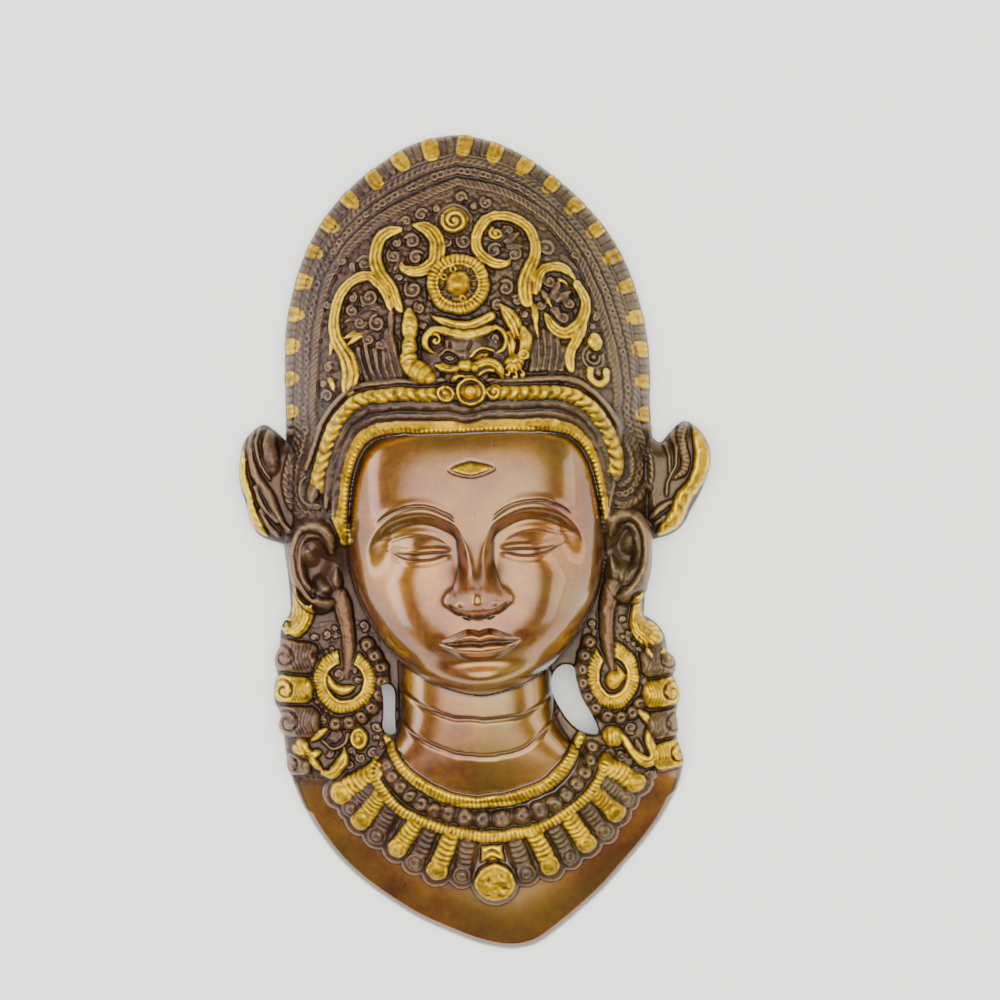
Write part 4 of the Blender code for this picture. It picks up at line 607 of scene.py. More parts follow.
def eyes(x, y):
    """Ball, lids and lid folds of both half-closed eyes."""
    ax = np.abs(x)
    u = ax - 21.5
    ball = 4.9 * np.exp(-(u / 12) ** 2 - ((y - 0.4) / 7.4) ** 2)
    upper = spline((8, -3), (11, -2.7), (16, -2.3), (22, -2.4), (28, -2.2), (34, -1.2), (40, 0.8))(ax)
    lower = spline((8, -3), (11, -3.2), (16, -4.7), (22, -5.3), (28, -4.7), (34, -2.2), (40, 0.4))(ax)
    fold = spline((8, -1), (11, 1.4), (16, 4.2), (22, 5.4), (29, 4.9), (35, 3.2), (42, 2.4))(ax)
    span = ease(ax, 9.5, 12) * (1 - ease(ax, 31, 35.5))
    slit = ease(upper - y, -0.3, 0.7) * ease(y - lower, -0.4, 0.8)
    z = ball - 1.2 * slit * span
    z = z + 0.6 * bell((y - upper - 1.2) / 2) * span + 0.5 * bell((y - lower + 1.2) / 2.2) * span
    z = z - 0.5 * bell((y - upper) / 1.1) * ease(ax, 9, 12) * (1 - ease(ax, 33, 39))
    wide = ease(ax, 10, 15) * (1 - ease(ax, 34, 41))
    return z - 0.45 * bell((y - fold) / 1.3) * wide


def lips(x, y):
    ax = np.abs(x)
    top = spline((0, -34.6), (3.4, -33.4), (8, -34.6), (13, -37), (17.5, -38.9))(ax)
    seam = spline((0, -39.5), (4, -38.9), (9, -39.2), (13, -39), (17.5, -38.3))(ax)
    foot = spline((0, -45.9), (6, -45.4), (10, -43.8), (14, -41.2), (17.5, -38.9))(ax)
    ends = 1 - ease(ax, 8.5, 17.5)
    u = np.clip((y - seam) / np.maximum(top - seam, 0.3), 0, 1)
    over = 3 * np.sin(pi * u ** 0.8) ** 1.15
    v = np.clip((seam - y) / np.maximum(seam - foot, 0.3), 0, 1)
    under = 3.6 * np.sin(pi * v ** 0.85) ** 1.2
    z = np.where((y > seam) & (y < top), over, 0) + np.where((y <= seam) & (y > foot), under, 0)
    z = z * ends
    z = z - 0.8 * bell((y - seam) / 1.4) * (1 - ease(ax, 12.5, 19))
    z = z - 0.5 * bell((ax - 18) / 4.6) * bell((y + 38.4) / 4)
    z = z - 0.45 * bell(x / 3.4) * ease(y, -35.5, -33.5) * (1 - ease(y, -32, -29))
    return z


def neck_form(x, y):
    """The neck, widening into the chest, with the swell of each fold."""
    middle = ramp(
        (-48, 37), (-63, 36.5), (-73, 35.5), (-80, 34), (-88, 31.5), (-96, 28), (-104, 24), (-112, 18),
        (-120, 10), (-128, 0))(y)
    half = ramp((-48, 33), (-63, 33.5), (-72, 34), (-78, 36), (-86, 41), (-94, 48), (-104, 55),
                (-112, 60), (-128, 66))(y)
    t = np.clip(np.abs(x - NECK_MIDDLE) / half, 0, 1)
    low = np.minimum(6, middle)
    z = low + (middle - low) * np.sqrt(1 - t ** 2.3)
    return np.where((y < -48) & (y > -127) & (t < 1), z, 0)


# Middles of the ears and of the earrings, and the band over the forehead
LEFT_EAR = (-67.5, -6)
RIGHT_EAR = (63.5, -8)
LEFT_DROP = (-58.3, -55.5)
RIGHT_DROP = (54.8, -58.8)
TOOTHED_BAND = [
    (-54.8, 4.5), (-55.2, 17), (-53, 30), (-49.5, 40), (-44, 46.8), (-36, 49.6), (-18, 49.4), (0, 49),
    (18, 48.5), (36, 47.3), (45, 42.8), (50, 35.5), (53.3, 24), (54.6, 12), (54.6, 3)]


def lump(x, y, centre, long, wide, low, high, power=0.5):
    """A low oval mound under an ear or an earring."""
    r2 = ((x - centre[0]) / long) ** 2 + ((y - centre[1]) / wide) ** 2
    return np.where(r2 < 1, low + (high - low) * np.clip(1 - r2, 0, 1) ** power, 0)


def broad_forms(wax):
    """Fills in the mask's broad heights: crown, chest, wings, face, neck and ears."""
    x, y = wax.x[None, :], wax.y[:, None]
    body = outline(1, RIGHT_SIDE, LEFT_SIDE)
    closed = np.vstack([body, body[:1]])
    at, away, _, _ = wax.near(closed, 62)
    edge = np.zeros(wax.base.shape)
    edge[at] = np.minimum(away, 62)
    edge = np.where(inside(body, wax.x, wax.y), edge, 0)
    height = ramp(
        (-175, 15), (-140, 16.5), (-110, 17), (-98, 13), (-88, 9), (-60, 9), (-30, 9), (-12, 12),
        (4, 20), (20, 28), (40, 37), (62, 41), (80, 37.5), (100, 32), (120, 27), (140, 22),
        (176, 19))(y)
    slope = ramp((-175, 44), (-120, CHEST_SLOPE), (-100, 40), (-88, HAIR_SLOPE), (-20, HAIR_SLOPE),
                 (0, 20), (20, 34), (45, CROWN_SLOPE), (176, CROWN_SLOPE))(y)
    base = RIM_HEIGHT + height * rounded(edge / slope)
    whole = outline(1)
    at, away, _, _ = wax.near(np.vstack([whole, whole[:1]]), 14)
    rim = np.full(wax.base.shape, 14.0)
    rim[at] = np.minimum(away, 14)
    wing = RIM_HEIGHT + WING_HEIGHT * rounded(rim / 9)
    on_wing = ease(np.abs(x), 69, 77) * ease(y, -6, 2) * (y < 57)
    base = np.maximum(base, RIM_HEIGHT + (wing - RIM_HEIGHT) * on_wing)
    for ear in (LEFT_EAR, RIGHT_EAR):
        base = np.maximum(base, lump(x, y, ear, 12, 21, 12, 20, 0.35))
    for drop in (LEFT_DROP, RIGHT_DROP):
        base = np.maximum(base, lump(x, y, drop, 17.5, 19.5, 10, 15.5, 0.3))
    base = np.maximum(base, neck_form(x, y))
    # The chest rolls over to its edge
    base = np.minimum(base, 2.4 + rim * 1.2 + 60 * ease(y, -113, -84))
    face = face_form(x, y)
    on_face = face > FACE_SIDE_HEIGHT + 0.01
    face = np.where(on_face, face + face_features(x, y) + nose(x, y) + eyes(x, y) + lips(x, y), face)
    # Within the toothed band the forehead lies deeper than the crown's shell
    band = flow(TOOTHED_BAND, 1)
    opening = inside(band, wax.x, wax.y)
    at, away, _, _ = wax.near(band, 9)
    sunk = np.full(base.shape, 60.0)
    sunk[at] = np.clip(away - 2.4, 0, 6.6) ** 1.5 * 2
    base = np.where(opening & on_face, np.maximum(base - sunk, 0), base)
    wax.base = np.maximum(base, face)
    wax.shine = np.where(((face >= base) | opening) & on_face, 1.0, 0.0)
    wax.shine = np.maximum(wax.shine, np.where(neck_form(x, y) >= base - 1e-6, 1.0, 0.0))
    wax.shine = np.maximum(wax.shine, ease(-y - 0.05 * np.abs(x), 92, 99))
    wax.edge = rim


# Where the crown's border ends inside, from the tip down
LEFT_INNER_ARCH = [
    (0, 149), (-17.5, 142), (-33.5, 135), (-45.5, 126), (-52.7, 116.5), (-57, 108), (-60, 95),
    (-62, 80), (-63.5, 64), (-65.5, 50), (-68, 38)]
RIGHT_INNER_ARCH = [
    (0, 149), (15.5, 145), (27, 139.5), (36.5, 131.5), (44.5, 121), (50.5, 108), (55, 94), (58, 80),
    (60, 64), (62, 50), (63.5, 38)]
# The rows within the border: their place from the outline (0) to the arch (1),
# width, height, pitch and slant. The second is a chain of loops. The first three
# turn under the ends of the brow's rope.
BORDER_ROWS = [
    (0.87, 4.4, 2, 2.2, 1), (0.655, 4.2, 1.1, 0, 0), (0.46, 4, 1.7, 2.7, -0.8), (0.355, 1.2, 1.4, 0, 0)]
# How wide the border is where its rows have their full width
BORDER_WIDTH = 22
LEFT_TAILS = [
    [(-65.5, 52), (-68, 43), (-71.3, 36), (-73.2, 29.5), (-73.3, 24), (-70.3, 19.8), (-65.5, 18.8)],
    [(-69.5, 52), (-72.8, 43), (-75.8, 35.5), (-76.9, 28), (-76, 21.5), (-72.5, 16.9), (-68, 15.6)],
    [(-73.2, 51), (-76, 43), (-79, 35.5), (-80, 28.5), (-78.9, 21.5), (-75.2, 16.2), (-70.5, 13.4)],
    [(-76.5, 50), (-79.5, 42), (-82.2, 35), (-82.9, 28.5), (-81.4, 21.8), (-77.2, 15.5), (-73, 12.4)]]
RIGHT_TAILS = [
    [(62, 52), (63.5, 46.9), (65.8, 39), (67.8, 31.7), (67.2, 25.8), (63.1, 21.8), (58.7, 22.4)],
    [(65.5, 52), (66.8, 45.6), (69, 38.9), (70.9, 32.2), (70.4, 25.7), (67, 19.8), (62.4, 17.4),
     (58, 18.6)],
    [(69.2, 51), (71, 43), (73.9, 35), (75.1, 28.4), (74.2, 21.3), (69.7, 15.5), (63.5, 13.2),
     (59.5, 14.4)],
    [(72.5, 50), (74.6, 42), (77.9, 34), (79.7, 25.8), (77.9, 19.3), (72.8, 12.9), (68.3, 10.1)]]


def crown_sides():
    """Outline and inner arch of each half of the crown's border, from the tip down."""
    left = flow(CROWN_RUN[10::-1], 1)
    right = flow(CROWN_RUN[10:], 1)
    return (left, flow(LEFT_INNER_ARCH, 1)), (right, flow(RIGHT_INNER_ARCH, 1))


def lane(outer, inner, share):
    """A line between the outline (share 0) and the inner arch (share 1)."""
    outer, inner = rails(outer, inner, 140)
    return evenly(outer * (1 - share) + inner * share, 0.8)


def room(outer, inner):
    """How much of its full width the border has, at nine places from the tip down."""
    outer, inner = rails(outer, inner, 9)
    return np.clip(np.hypot(*(outer - inner).T) / BORDER_WIDTH, 0.6, 1.1)


def crown_border(wax):
    """Gadroons along the edge, some broad and gold, and the rows of loops and rope within."""
    chance = np.random.default_rng(8)
    for (outer, inner), tails in zip(crown_sides(), (LEFT_TAILS, RIGHT_TAILS)):
        edge = lane(outer, inner, 0.17)
        s = GADROON_PITCH * 0.9
        k = 1 if tails is LEFT_TAILS else 0
        while s < lengths(edge)[-1] - GADROON_PITCH:
            gold = k % 3 == 0
            wide = GADROON_PITCH * (2.1 if gold else 0.95) * chance.uniform(0.92, 1.08)
            here, angle = along(edge, s)
            fade = 1 - 0.34 * ease(s, 60, 160)
            reach = TAB_LENGTH / 2 * fade * chance.uniform(0.9, 1.06) - 1.2
            way = np.array([-sin(angle), cos(angle)]) * reach
            wax.ribbon([here - way, here + way], wide * 0.98, 2.1 if gold else 1.6, gold, (0.9, 0.9), 2,
                       4, lines=k // 3 % 2 + 1 if gold else 0, cut=0.5)
            s += wide / 2 + GADROON_PITCH * (0.5 if k % 3 != 2 else 0.95)
            k += 1
        share_left = room(outer, inner)
        for (share, width, height, pitch, slant), tail in zip(BORDER_ROWS, tails):
            row = lane(outer, inner, share)
            if share < 0.4:
                row = evenly(row[row[:, 1] > 50], 2.4)
            else:
                row = evenly(np.vstack([row[row[:, 1] > 60], flow(tail, 0.8)]), 2.4)
            wax.ribbon(row, width * share_left, height, pitch=pitch, bite=0.8, slant=slant, full=3)
            for side in (-1, 1):
                wax.groove(beside(row, side * (width * share_left.mean() / 2 + 0.1)), 0.7, 0.5)
            if pitch == 0 and width > 2:
                for k in range(int(lengths(row)[-1] / 3)):
                    here, _ = along(row, (k + chance.uniform(0.3, 0.7)) * 3)
                    wax.ring(here, chance.uniform(0.9, 1.3), 1.1, chance.uniform(1.6, 2.2),
                             stretch=chance.uniform(0.75, 1.3))
                    wax.dent(here, 0.7, 0.5)


# Middle lines of the gold scrolls on the crown, with their widths along the way
# and the shares their two ends narrow to
SCROLLS = [
    ([(-26.5, 98), (-28.2, 103.9), (-29.9, 107.4), (-33.1, 112.4), (-35.4, 117.3), (-36.1, 122.2),
      (-34.4, 128.3), (-30.5, 131.6), (-25.4, 132.7)], (4.6, 5.6, 6.2, 5.8, 5.6), (0.7, 0.5)),
    ([(-18.9, 134.3), (-13.9, 132.5), (-10.3, 127.5), (-9.9, 122.3), (-11.1, 117.5), (-15.4, 114.9),
      (-20.3, 114.2), (-24.3, 115.9), (-25.2, 118.4)], (5.6, 6.6, 7.4, 7, 5.6, 4.2), (0.45, 0.3)),
    ([(26, 99), (25.6, 107), (27.9, 113.1), (30.4, 118.5), (30.5, 125.1), (27.8, 131.6),
      (21.8, 135.7), (14.6, 136.7), (9.3, 133.3), (6.4, 127), (7.3, 120.7), (12.2, 116.4),
      (18.1, 115.6), (20.4, 117.6)], (6.8, 6.2, 5, 4.8, 4.6, 5, 5.4, 3.8), (0.8, 0.3)),
    ([(-48.9, 66), (-47.6, 73), (-49.1, 79.2), (-52.9, 86.3), (-54.4, 92.6), (-54.1, 98.8),
      (-52.3, 104.9), (-48.6, 110), (-43.6, 112.9), (-38.1, 113.1), (-34.7, 109.8), (-31.9, 105.2),
      (-30.4, 99.5)], (8.6, 8, 6, 5, 4.8, 4.8, 5.2, 4.2), (0.8, 0.7)),
    ([(30, 103), (31.6, 110.4), (36.2, 113.6), (41.7, 113), (46.3, 108.6)],
     (5, 4.6, 4.4, 3.6), (0.6, 0.5)),
    ([(47.3, 106), (50.3, 99.8), (49.7, 93.6), (46.3, 87.9), (41, 85), (36.3, 87.7), (33.6, 93.6)],
     (4.2, 4.6, 5, 5.4, 5.4, 4), (0.9, 0.4)),
    ([(49.4, 90.5), (45.8, 82.4), (43, 77.6), (42.4, 70)], (5.2, 5.2, 4.2), (0.5, 0.8)),
]
# Tendrils between the scrolls: centre, radius, the turn they start at, hand and any gilding
TENDRILS = [
    (-18.9, 120.3, 3.5, 0.4, 1), (-20.7, 127.3, 3.9, 2.6, -1), (-28.3, 121.6, 3.3, 2.2, 1),
    (-27, 127, 2.2, 1, -1), (-40.6, 119.2, 4.2, 2.8, -1), (-20.7, 106.4, 4.2, 2.4, 1),
    (-18.3, 98.7, 2.7, 2, 1), (1, 126.2, 3.5, 2.4, 1), (-6.2, 126, 2.6, 0.6, -1),
    (-38.9, 104.4, 4, 2.9, 1), (-35.9, 93.2, 4.2, 1.6, 1), (-43.2, 93.8, 3, 0.2, -1),
    (-39.8, 86.6, 2.8, 2.6, 1), (-35.2, 84.2, 2.8, 1.2, -1), (-46.4, 99.4, 3.2, 1.4, 1),
    (-46.2, 105, 2.4, 1.8, -1), (13.9, 121.3, 3.6, 0.6, 1), (15, 129, 3.6, 2, 1, 1),
    (22, 119.6, 3.2, 1, -1), (20, 130.4, 2.2, 2.6, -1), (35.6, 121.8, 4.2, 2.8, -1),
    (17.5, 105.2, 4, 2.2, -1), (22.2, 99.9, 3, 2.6, -1), (13.8, 98.1, 2.8, 0.8, 1),
    (11.8, 87.4, 3.2, 1.2, 1), (35.9, 107.4, 3, 2.2, 1), (31.9, 97.4, 2.6, 0.6, -1),
    (44, 97.6, 3, 1.6, 1), (41.2, 91, 2.6, 3, -1), (-50.2, 121.4, 2.6, 1, 1), (47.4, 118.8, 2.8, 2, -1),
    (-9.5, 141, 2, 1.4, 1), (6, 141.4, 2, 1.6, -1), (-56.6, 103, 2.2, 1.6, 1), (54.4, 92, 2.4, 2, -1),
    (-57.4, 76.4, 2.4, 1, 1), (53, 88, 1.8, 2, 1), (-13.2, 103, 2, 1, 1), (-16.8, 91.4, 2.2, 2, 1)]
# Leaves: root, tip, width, height, gilding and engraved lines
LEAVES = [
    (-34, 99.5, -43.5, 101.5, 5.6, 2.2, 0, 2), (-38, 98.4, -50.5, 94.4, 6, 2.2, 0, 2),
    (-37, 89, -49, 88.2, 6.4, 2.4, 0, 2), (-41.5, 89.8, -49.6, 84.2, 4.6, 3.2, 1, 1),
    (-44, 90.2, -51.6, 87.4, 4.2, 3.2, 1, 1), (-55, 88, -56.8, 80.6, 3.8, 2.6, 1, 1),
    (-57.4, 72.4, -55, 65.4, 4, 2.4, 1, 1), (-25, 123.4, -31.6, 118.4, 4.6, 2.2, 0, 1),
    (-24, 121, -29, 114.6, 4.2, 2, 0, 1), (17, 125, 25, 129.4, 6, 2.4, 0, 2),
    (18, 123, 26, 123, 5, 2.2, 0, 1), (17, 126.6, 18.6, 133.4, 4.6, 2.2, 0, 1),
    (36, 99, 40.6, 108.6, 7.4, 3, 0, 0), (37, 98.4, 45.6, 103, 6.8, 3, 0, 0),
    (36.6, 97.4, 40.4, 88.6, 6.6, 3, 0, 0), (35, 99, 31.8, 104.6, 5.6, 2.8, 0, 0),
    (39, 108.6, 44, 105.4, 2.6, 3.2, 1, 0), (34, 101.4, 36.6, 95.4, 3.2, 3, 1, 0),
    (28.6, 99, 30, 82, 4.8, 3, 1, 1), (-6, 129.2, -8.4, 121.8, 2.6, 1.8, 0, 0),
    (3.4, 129.8, 4, 121.8, 2.6, 1.8, 0, 0), (-44.6, 117.6, -52.4, 109.8, 3.2, 1.6, 0, 1),
    (40.8, 119, 49, 111.4, 3.4, 1.8, 0, 1), (-30, 139.4, -40, 132, 2.6, 1.4, 0, 1),
    (54.6, 85.2, 52.8, 77.6, 5.6, 3, 1, 1)]
# Ridges of the drapery that hangs on either side of the guardian
DRAPERY = [[(-30.2, 97.5), (-30.3, 86), (-26.8, 71)], [(-32.2, 90), (-32, 82), (-29.4, 70.6)],
           [(-34.2, 80.6), (-33.6, 76), (-32, 70.2)], [(-37.6, 82), (-36.8, 76), (-34.6, 70)],
           [(-41.2, 84), (-40, 76), (-37.2, 69.6)], [(-44.6, 82.6), (-43.4, 76), (-40.2, 69.2)],
           [(27.2, 88), (27.4, 79), (26.6, 70.4)], [(29.8, 82), (29.8, 77), (28.8, 70.4)],
           [(32.4, 86), (32.4, 78), (31.2, 70.4)], [(35, 85.4), (35, 78), (33.8, 70.2)],
           [(37.6, 82.4), (37.8, 77), (36.4, 70)], [(40, 79), (40.2, 75), (38.8, 69.8)]]


def crown_field(wax, field):
    """The scrolls, tendrils, medallion and guardian on the front of the crown."""
    for x0, y0, x1, y1, width, height, gilt, lines in LEAVES:
        size, angle = hypot(x1 - x0, y1 - y0), atan2(y1 - y0, x1 - x0)
        wax.blob(((x0 + x1) / 2, (y0 + y1) / 2), size, width, height, gilt, angle, 0.5, 0.75)
        for k in range(lines):
            off = (k + 1) / (lines + 1) - 0.5
            start = (x0 - off * width * sin(angle), y0 + off * width * cos(angle))
            wax.groove([start, (x0 + 0.8 * (x1 - x0), y0 + 0.8 * (y1 - y0))], 0.6, 0.7, 1.5)
    for line in DRAPERY:
        wax.cord(line, 2.9, 2)
    for x, y, radius, start, hand, *gilt in TENDRILS:
        wax.curl((x, y), radius, start, hand, *gilt)
    for line, widths, tips in SCROLLS:
        wax.ribbon(line, widths, SCROLL_HEIGHT + 0.4, 1, tips, full=3.2, lines=int(np.mean(widths) / 2),
                   cut=1.2)
    medallion(wax)
    # Rosette at the top, wound like a shell
    centre = (-2.4, 134.9)
    wax.ring(centre, 7.3, 1.5, 1.4)
    wax.blob(centre, 12.8, 12.8, 3, 1, power=0.35)
    wax.curl(centre, 5.9, 2.6, 1, 1, 4.6, 1.9, 0.44)
    # Crescent under the medallion
    wax.ribbon([(-13.2, 95.2), (-9, 92.2), (-5.1, 90.5), (-1.2, 89.9), (3.5, 90.2), (7.6, 91.4),
                (11, 93.6)], (3, 4.6, 5.2, 5.2, 5), 5.2, 1, (0.3, 0.9), full=2.6, lines=1, cut=1)
    guardian(wax)
    # Buds and a horseshoe at the right foot of the field
    wax.dent((52.4, 74.6), 5, 0.8)
    for k, radius in enumerate((4.6, 2.8)):
        wax.ring((52.4, 74.9), radius, 1.5, 1.9 + 0.3 * k, gap=(1.2, 0.8))
    wax.blob((52.4, 74.9), 2.8, 2.8, 2.8)
    wax.blob((53.5, 81.4), 7, 8.2, 3.8, 1)
    wax.cord([(50.5, 69.3), (50.7, 65.6), (53.9, 63.6), (57.1, 65.4), (57.6, 69)], 3.6, 3.2, 1)
    wax.blob((54, 68.2), 3.4, 3.6, 2.6)
    wax.stuff(field, (3.8, 3.2, 2.7, 2.2), 2.1, 31)


def medallion(wax):
    """A toothed gold ring round a shallow well with small rings and a smooth boss."""
    centre = (-1.9, 107.9)
    wax.blob(centre, 2 * MEDALLION_RADIUS, 2 * MEDALLION_RADIUS, 3, 1, power=0.25)
    wax.ring(centre, 10.8, 4.8, 4.8, 1, teeth=38, full=2.6)
    wax.ring(centre, 8.6, 1.5, 5.2, 1, teeth=30)
    wax.blob(centre, 15.4, 15.4, 2.6, power=0.2)
    for k in range(8):
        turn = 2 * pi * (k + 0.35) / 8
        spot = polar(centre, 6.7, turn)
        gilt = 1 if k in (2, 3, 6) else 0
        wax.blob(spot, 3.6, 3.6, 3.6, gilt, power=0.3)
        wax.ring(spot, 1.1, 0.9, 4.3, gilt)
        wax.dent(spot, 0.9, 1.2)
    wax.blob(centre, 11.6, 11.6, 7.4, 1, power=0.45)


def guardian(wax):
    """The small guardian's face over the brow, gripping two stems."""
    wax.blob((-0.4, 77.6), 36, 25, 5.2, power=0.25)
    # Bulging forehead, drawn down between the eyes, with frown lines
    wax.blob((-0.9, 82), 22, 10.4, 7.4, power=0.3)
    wax.blob((-1.4, 78.6), 9, 7, 7.6, power=0.35)
    for line in ([(-9.6, 85.2), (-8.3, 80.8)], [(-6.6, 83.6), (-6, 80.4)],
                 [(2.6, 83.8), (1.4, 80.6), (-2, 78.9)]):
        wax.groove(line, 0.9, 1.6, 1)
    # Gold band over the brow, rolled up at both ends
    wax.ribbon(
        [(-12.6, 79), (-14.6, 80.2), (-16.3, 82.8), (-15.6, 86.4), (-12.8, 88.6), (-9.5, 88),
         (-5.3, 86.6), (0, 85.9), (5.3, 86.2), (9.4, 87.4), (12.5, 88.5)],
        (2.4, 3.4, 4.4, 5.2, 6, 6, 4.6), 8, 1, (0.5, 0.6), lines=1, cut=0.6)
    wax.curl((-12.4, 84.2), 3, 2.4, -1, 1, 6.8, 1.2, 0.6)
    wax.blob((12, 83.7), 5.4, 7, 6.4)
    wax.groove([(11, 82), (12.2, 84.4), (13.2, 82.2)], 0.9, 1.6, 0.5)
    wax.ribbon(
        [(12.8, 88.5), (15.5, 86.4), (16.5, 82.5), (15.1, 79.3), (12.4, 77.8)], 2.6, 6.6, 1, (0.9, 0.5))
    # Eyes: almond balls between heavy lids, dark in the corners
    for x, y, gilt, tilt, long in ((-6.6, 76.8, 0, -0.08, 8), (6.3, 76.8, 1, 0.3, 9.4)):
        c, s = cos(tilt) * long / 2, sin(tilt) * long / 2
        wax.blob((x, y), long + 3, 6.8, 5.6, gilt, tilt, 0.35)
        wax.ribbon([(x - c - 0.6, y - s + 0.4), (x - 0.6, y + 3), (x + c + 0.8, y + s + 0.6)], 1.6, 7.2,
                   gilt, (0.5, 0.5), 2)
        wax.groove([(x - c, y - s), (x - s * 0.6, y + 1.6), (x + c, y + s)], 0.7, 1.5, 0.6)
        wax.groove([(x - c, y - s), (x + s * 0.6, y - 1.7), (x + c, y + s)], 0.8, 1.7, 0.6)
        wax.dent((x + 0.3, y), 0.7, 1)
    # Nose, its wings and the gold cheeks; the right cheek sweeps up and out
    wax.cord([(0, 80), (0, 77), (-0.2, 74)], 4, 7.2)
    wax.ribbon([(-9, 72.4), (-5.8, 72.2), (-2.6, 71.4)], (4, 5.6, 5.2), 7, 1, (0.6, 0.9), 3)
    wax.ribbon([(-12.4, 73.6), (-9, 72.8), (-6, 72.6)], (4.4, 5.8, 5.2), 7.2, 1, (0.6, 0.8), 3)
    wax.groove([(-10.8, 73.6), (-8.2, 72.6), (-5.8, 72.9)], 0.7, 1, 0.6)
    wax.ribbon([(2, 72.4), (4.6, 73.2), (8, 74), (11.6, 73.2), (13.7, 70.2), (14.4, 67.4)],
               (5.2, 6.2, 6, 5, 3.4), 7.8, 1, (0.8, 0.5), 3, lines=1, cut=0.8)
    wax.ribbon([(4.1, 68.6), (6.2, 70.2), (9.2, 71), (11.8, 70.2)], 1.9, 6.6, 1, (0.6, 0.5), 2)
    for x in (-4.1, 3.4):
        wax.blob((x, 72), 5.2, 5, 8.4, 1)
    wax.blob((-0.4, 73.1), 8.4, 7.6, 9.4, 1)
    wax.ribbon([(-5.8, 67.2), (-3.2, 69.2), (-0.5, 68.8), (1.8, 68.9), (4.2, 66.8)], 3.8, 7.2, 1,
               (0.6, 0.6), 2)
    wax.groove([(-3.3, 70.4), (-0.4, 69.9), (2.4, 70.2)], 0.8, 1.5, 0.5)
    wax.blob((-4.7, 67.9), 2.6, 3.4, 7.2, 1)
    # The open corners of the mouth, with the tongue and the jowl under them
    wax.dent((10, 68.9), 1.7, 2.2, 0.7)
    wax.blob((8.9, 67.2), 6.4, 2.6, 5)
    wax.dent((-9.8, 70), 1.5, 2.2, 0.7)
    wax.blob((-10.5, 67.6), 8.6, 3.8, 4.8)
    # Left stem: swelling leaves, each with bows cut in it, and a hand that grips them
    for x, y, long, wide, tilt in (
            (-22.6, 91.4, 15.5, 7.8, 1.57), (-22.8, 82.6, 8.8, 7.8, 1.5), (-23.4, 77.4, 8.6, 8.8, 1.8),
            (-19.4, 72, 16.5, 10.4, 2.55)):
        wax.blob((x, y), long, wide, 6, 1, tilt, 0.3, 0.2)
        for k in (-0.26, 0, 0.24):
            c, s = cos(tilt), sin(tilt)
            bow = [(x + k * long * c + q * wide * s - b * c, y + k * long * s - q * wide * c - b * s)
                   for q, b in ((-0.44, 1.6), (0, 0), (0.44, 1.6))]
            wax.groove(bow, 0.7, 0.8, 1)
    # Right stem: a pleated leaf, a bud, the arm beside them and a fanned hand
    wax.ribbon([(15.2, 98.2), (18, 94), (20.3, 89.6), (21.4, 85)], (3.6, 6.2, 7, 6), 5, 1, (0.5, 0.9),
               lines=2, cut=1.1)
    wax.ribbon(
        [(17.5, 85.4), (18.6, 81), (18.6, 77.4)], (5, 5.8, 5.4), 5.2, 1, (0.8, 0.9), lines=1, cut=1)
    wax.ribbon(
        [(23.8, 87.4), (24.6, 82.8), (23.8, 78.4), (21.8, 75.4)], (5, 6.4, 6, 5), 6, 1, (0.7, 0.9), 3)
    wax.groove([(20.6, 85), (21.6, 81), (20.8, 77)], 0.8, 1.2, 1)
    wax.ring((23.6, 76.6), 1.8, 1, 7, 1)
    wax.blob((19.2, 73.4), 10.4, 8.6, 6.4, 1, 0.6, 0.4)
    for k in range(5):
        turn = 3.7 + 0.46 * k
        wax.groove([polar((19.6, 75), out, turn) for out in (1.4, 5.8)], 0.8, 1.1, 0.8)
    for x, y in ((16.2, 68.9), (19.2, 68), (22.2, 68.7)):
        wax.curl((x, y), 1.7, 1.6, -1, 1, 4.4, 1, 0.7)


BROW_ROPE = [
    (-65.5, 26), (-62.5, 36), (-58.5, 46), (-52, 55.5), (-43, 61.3), (-30, 62.6), (-15, 61.6),
    (0.5, 61.6), (16, 61), (30, 60.6), (42.5, 58.8), (51, 52.5), (56.8, 43.5), (60, 34), (59, 25.5)]


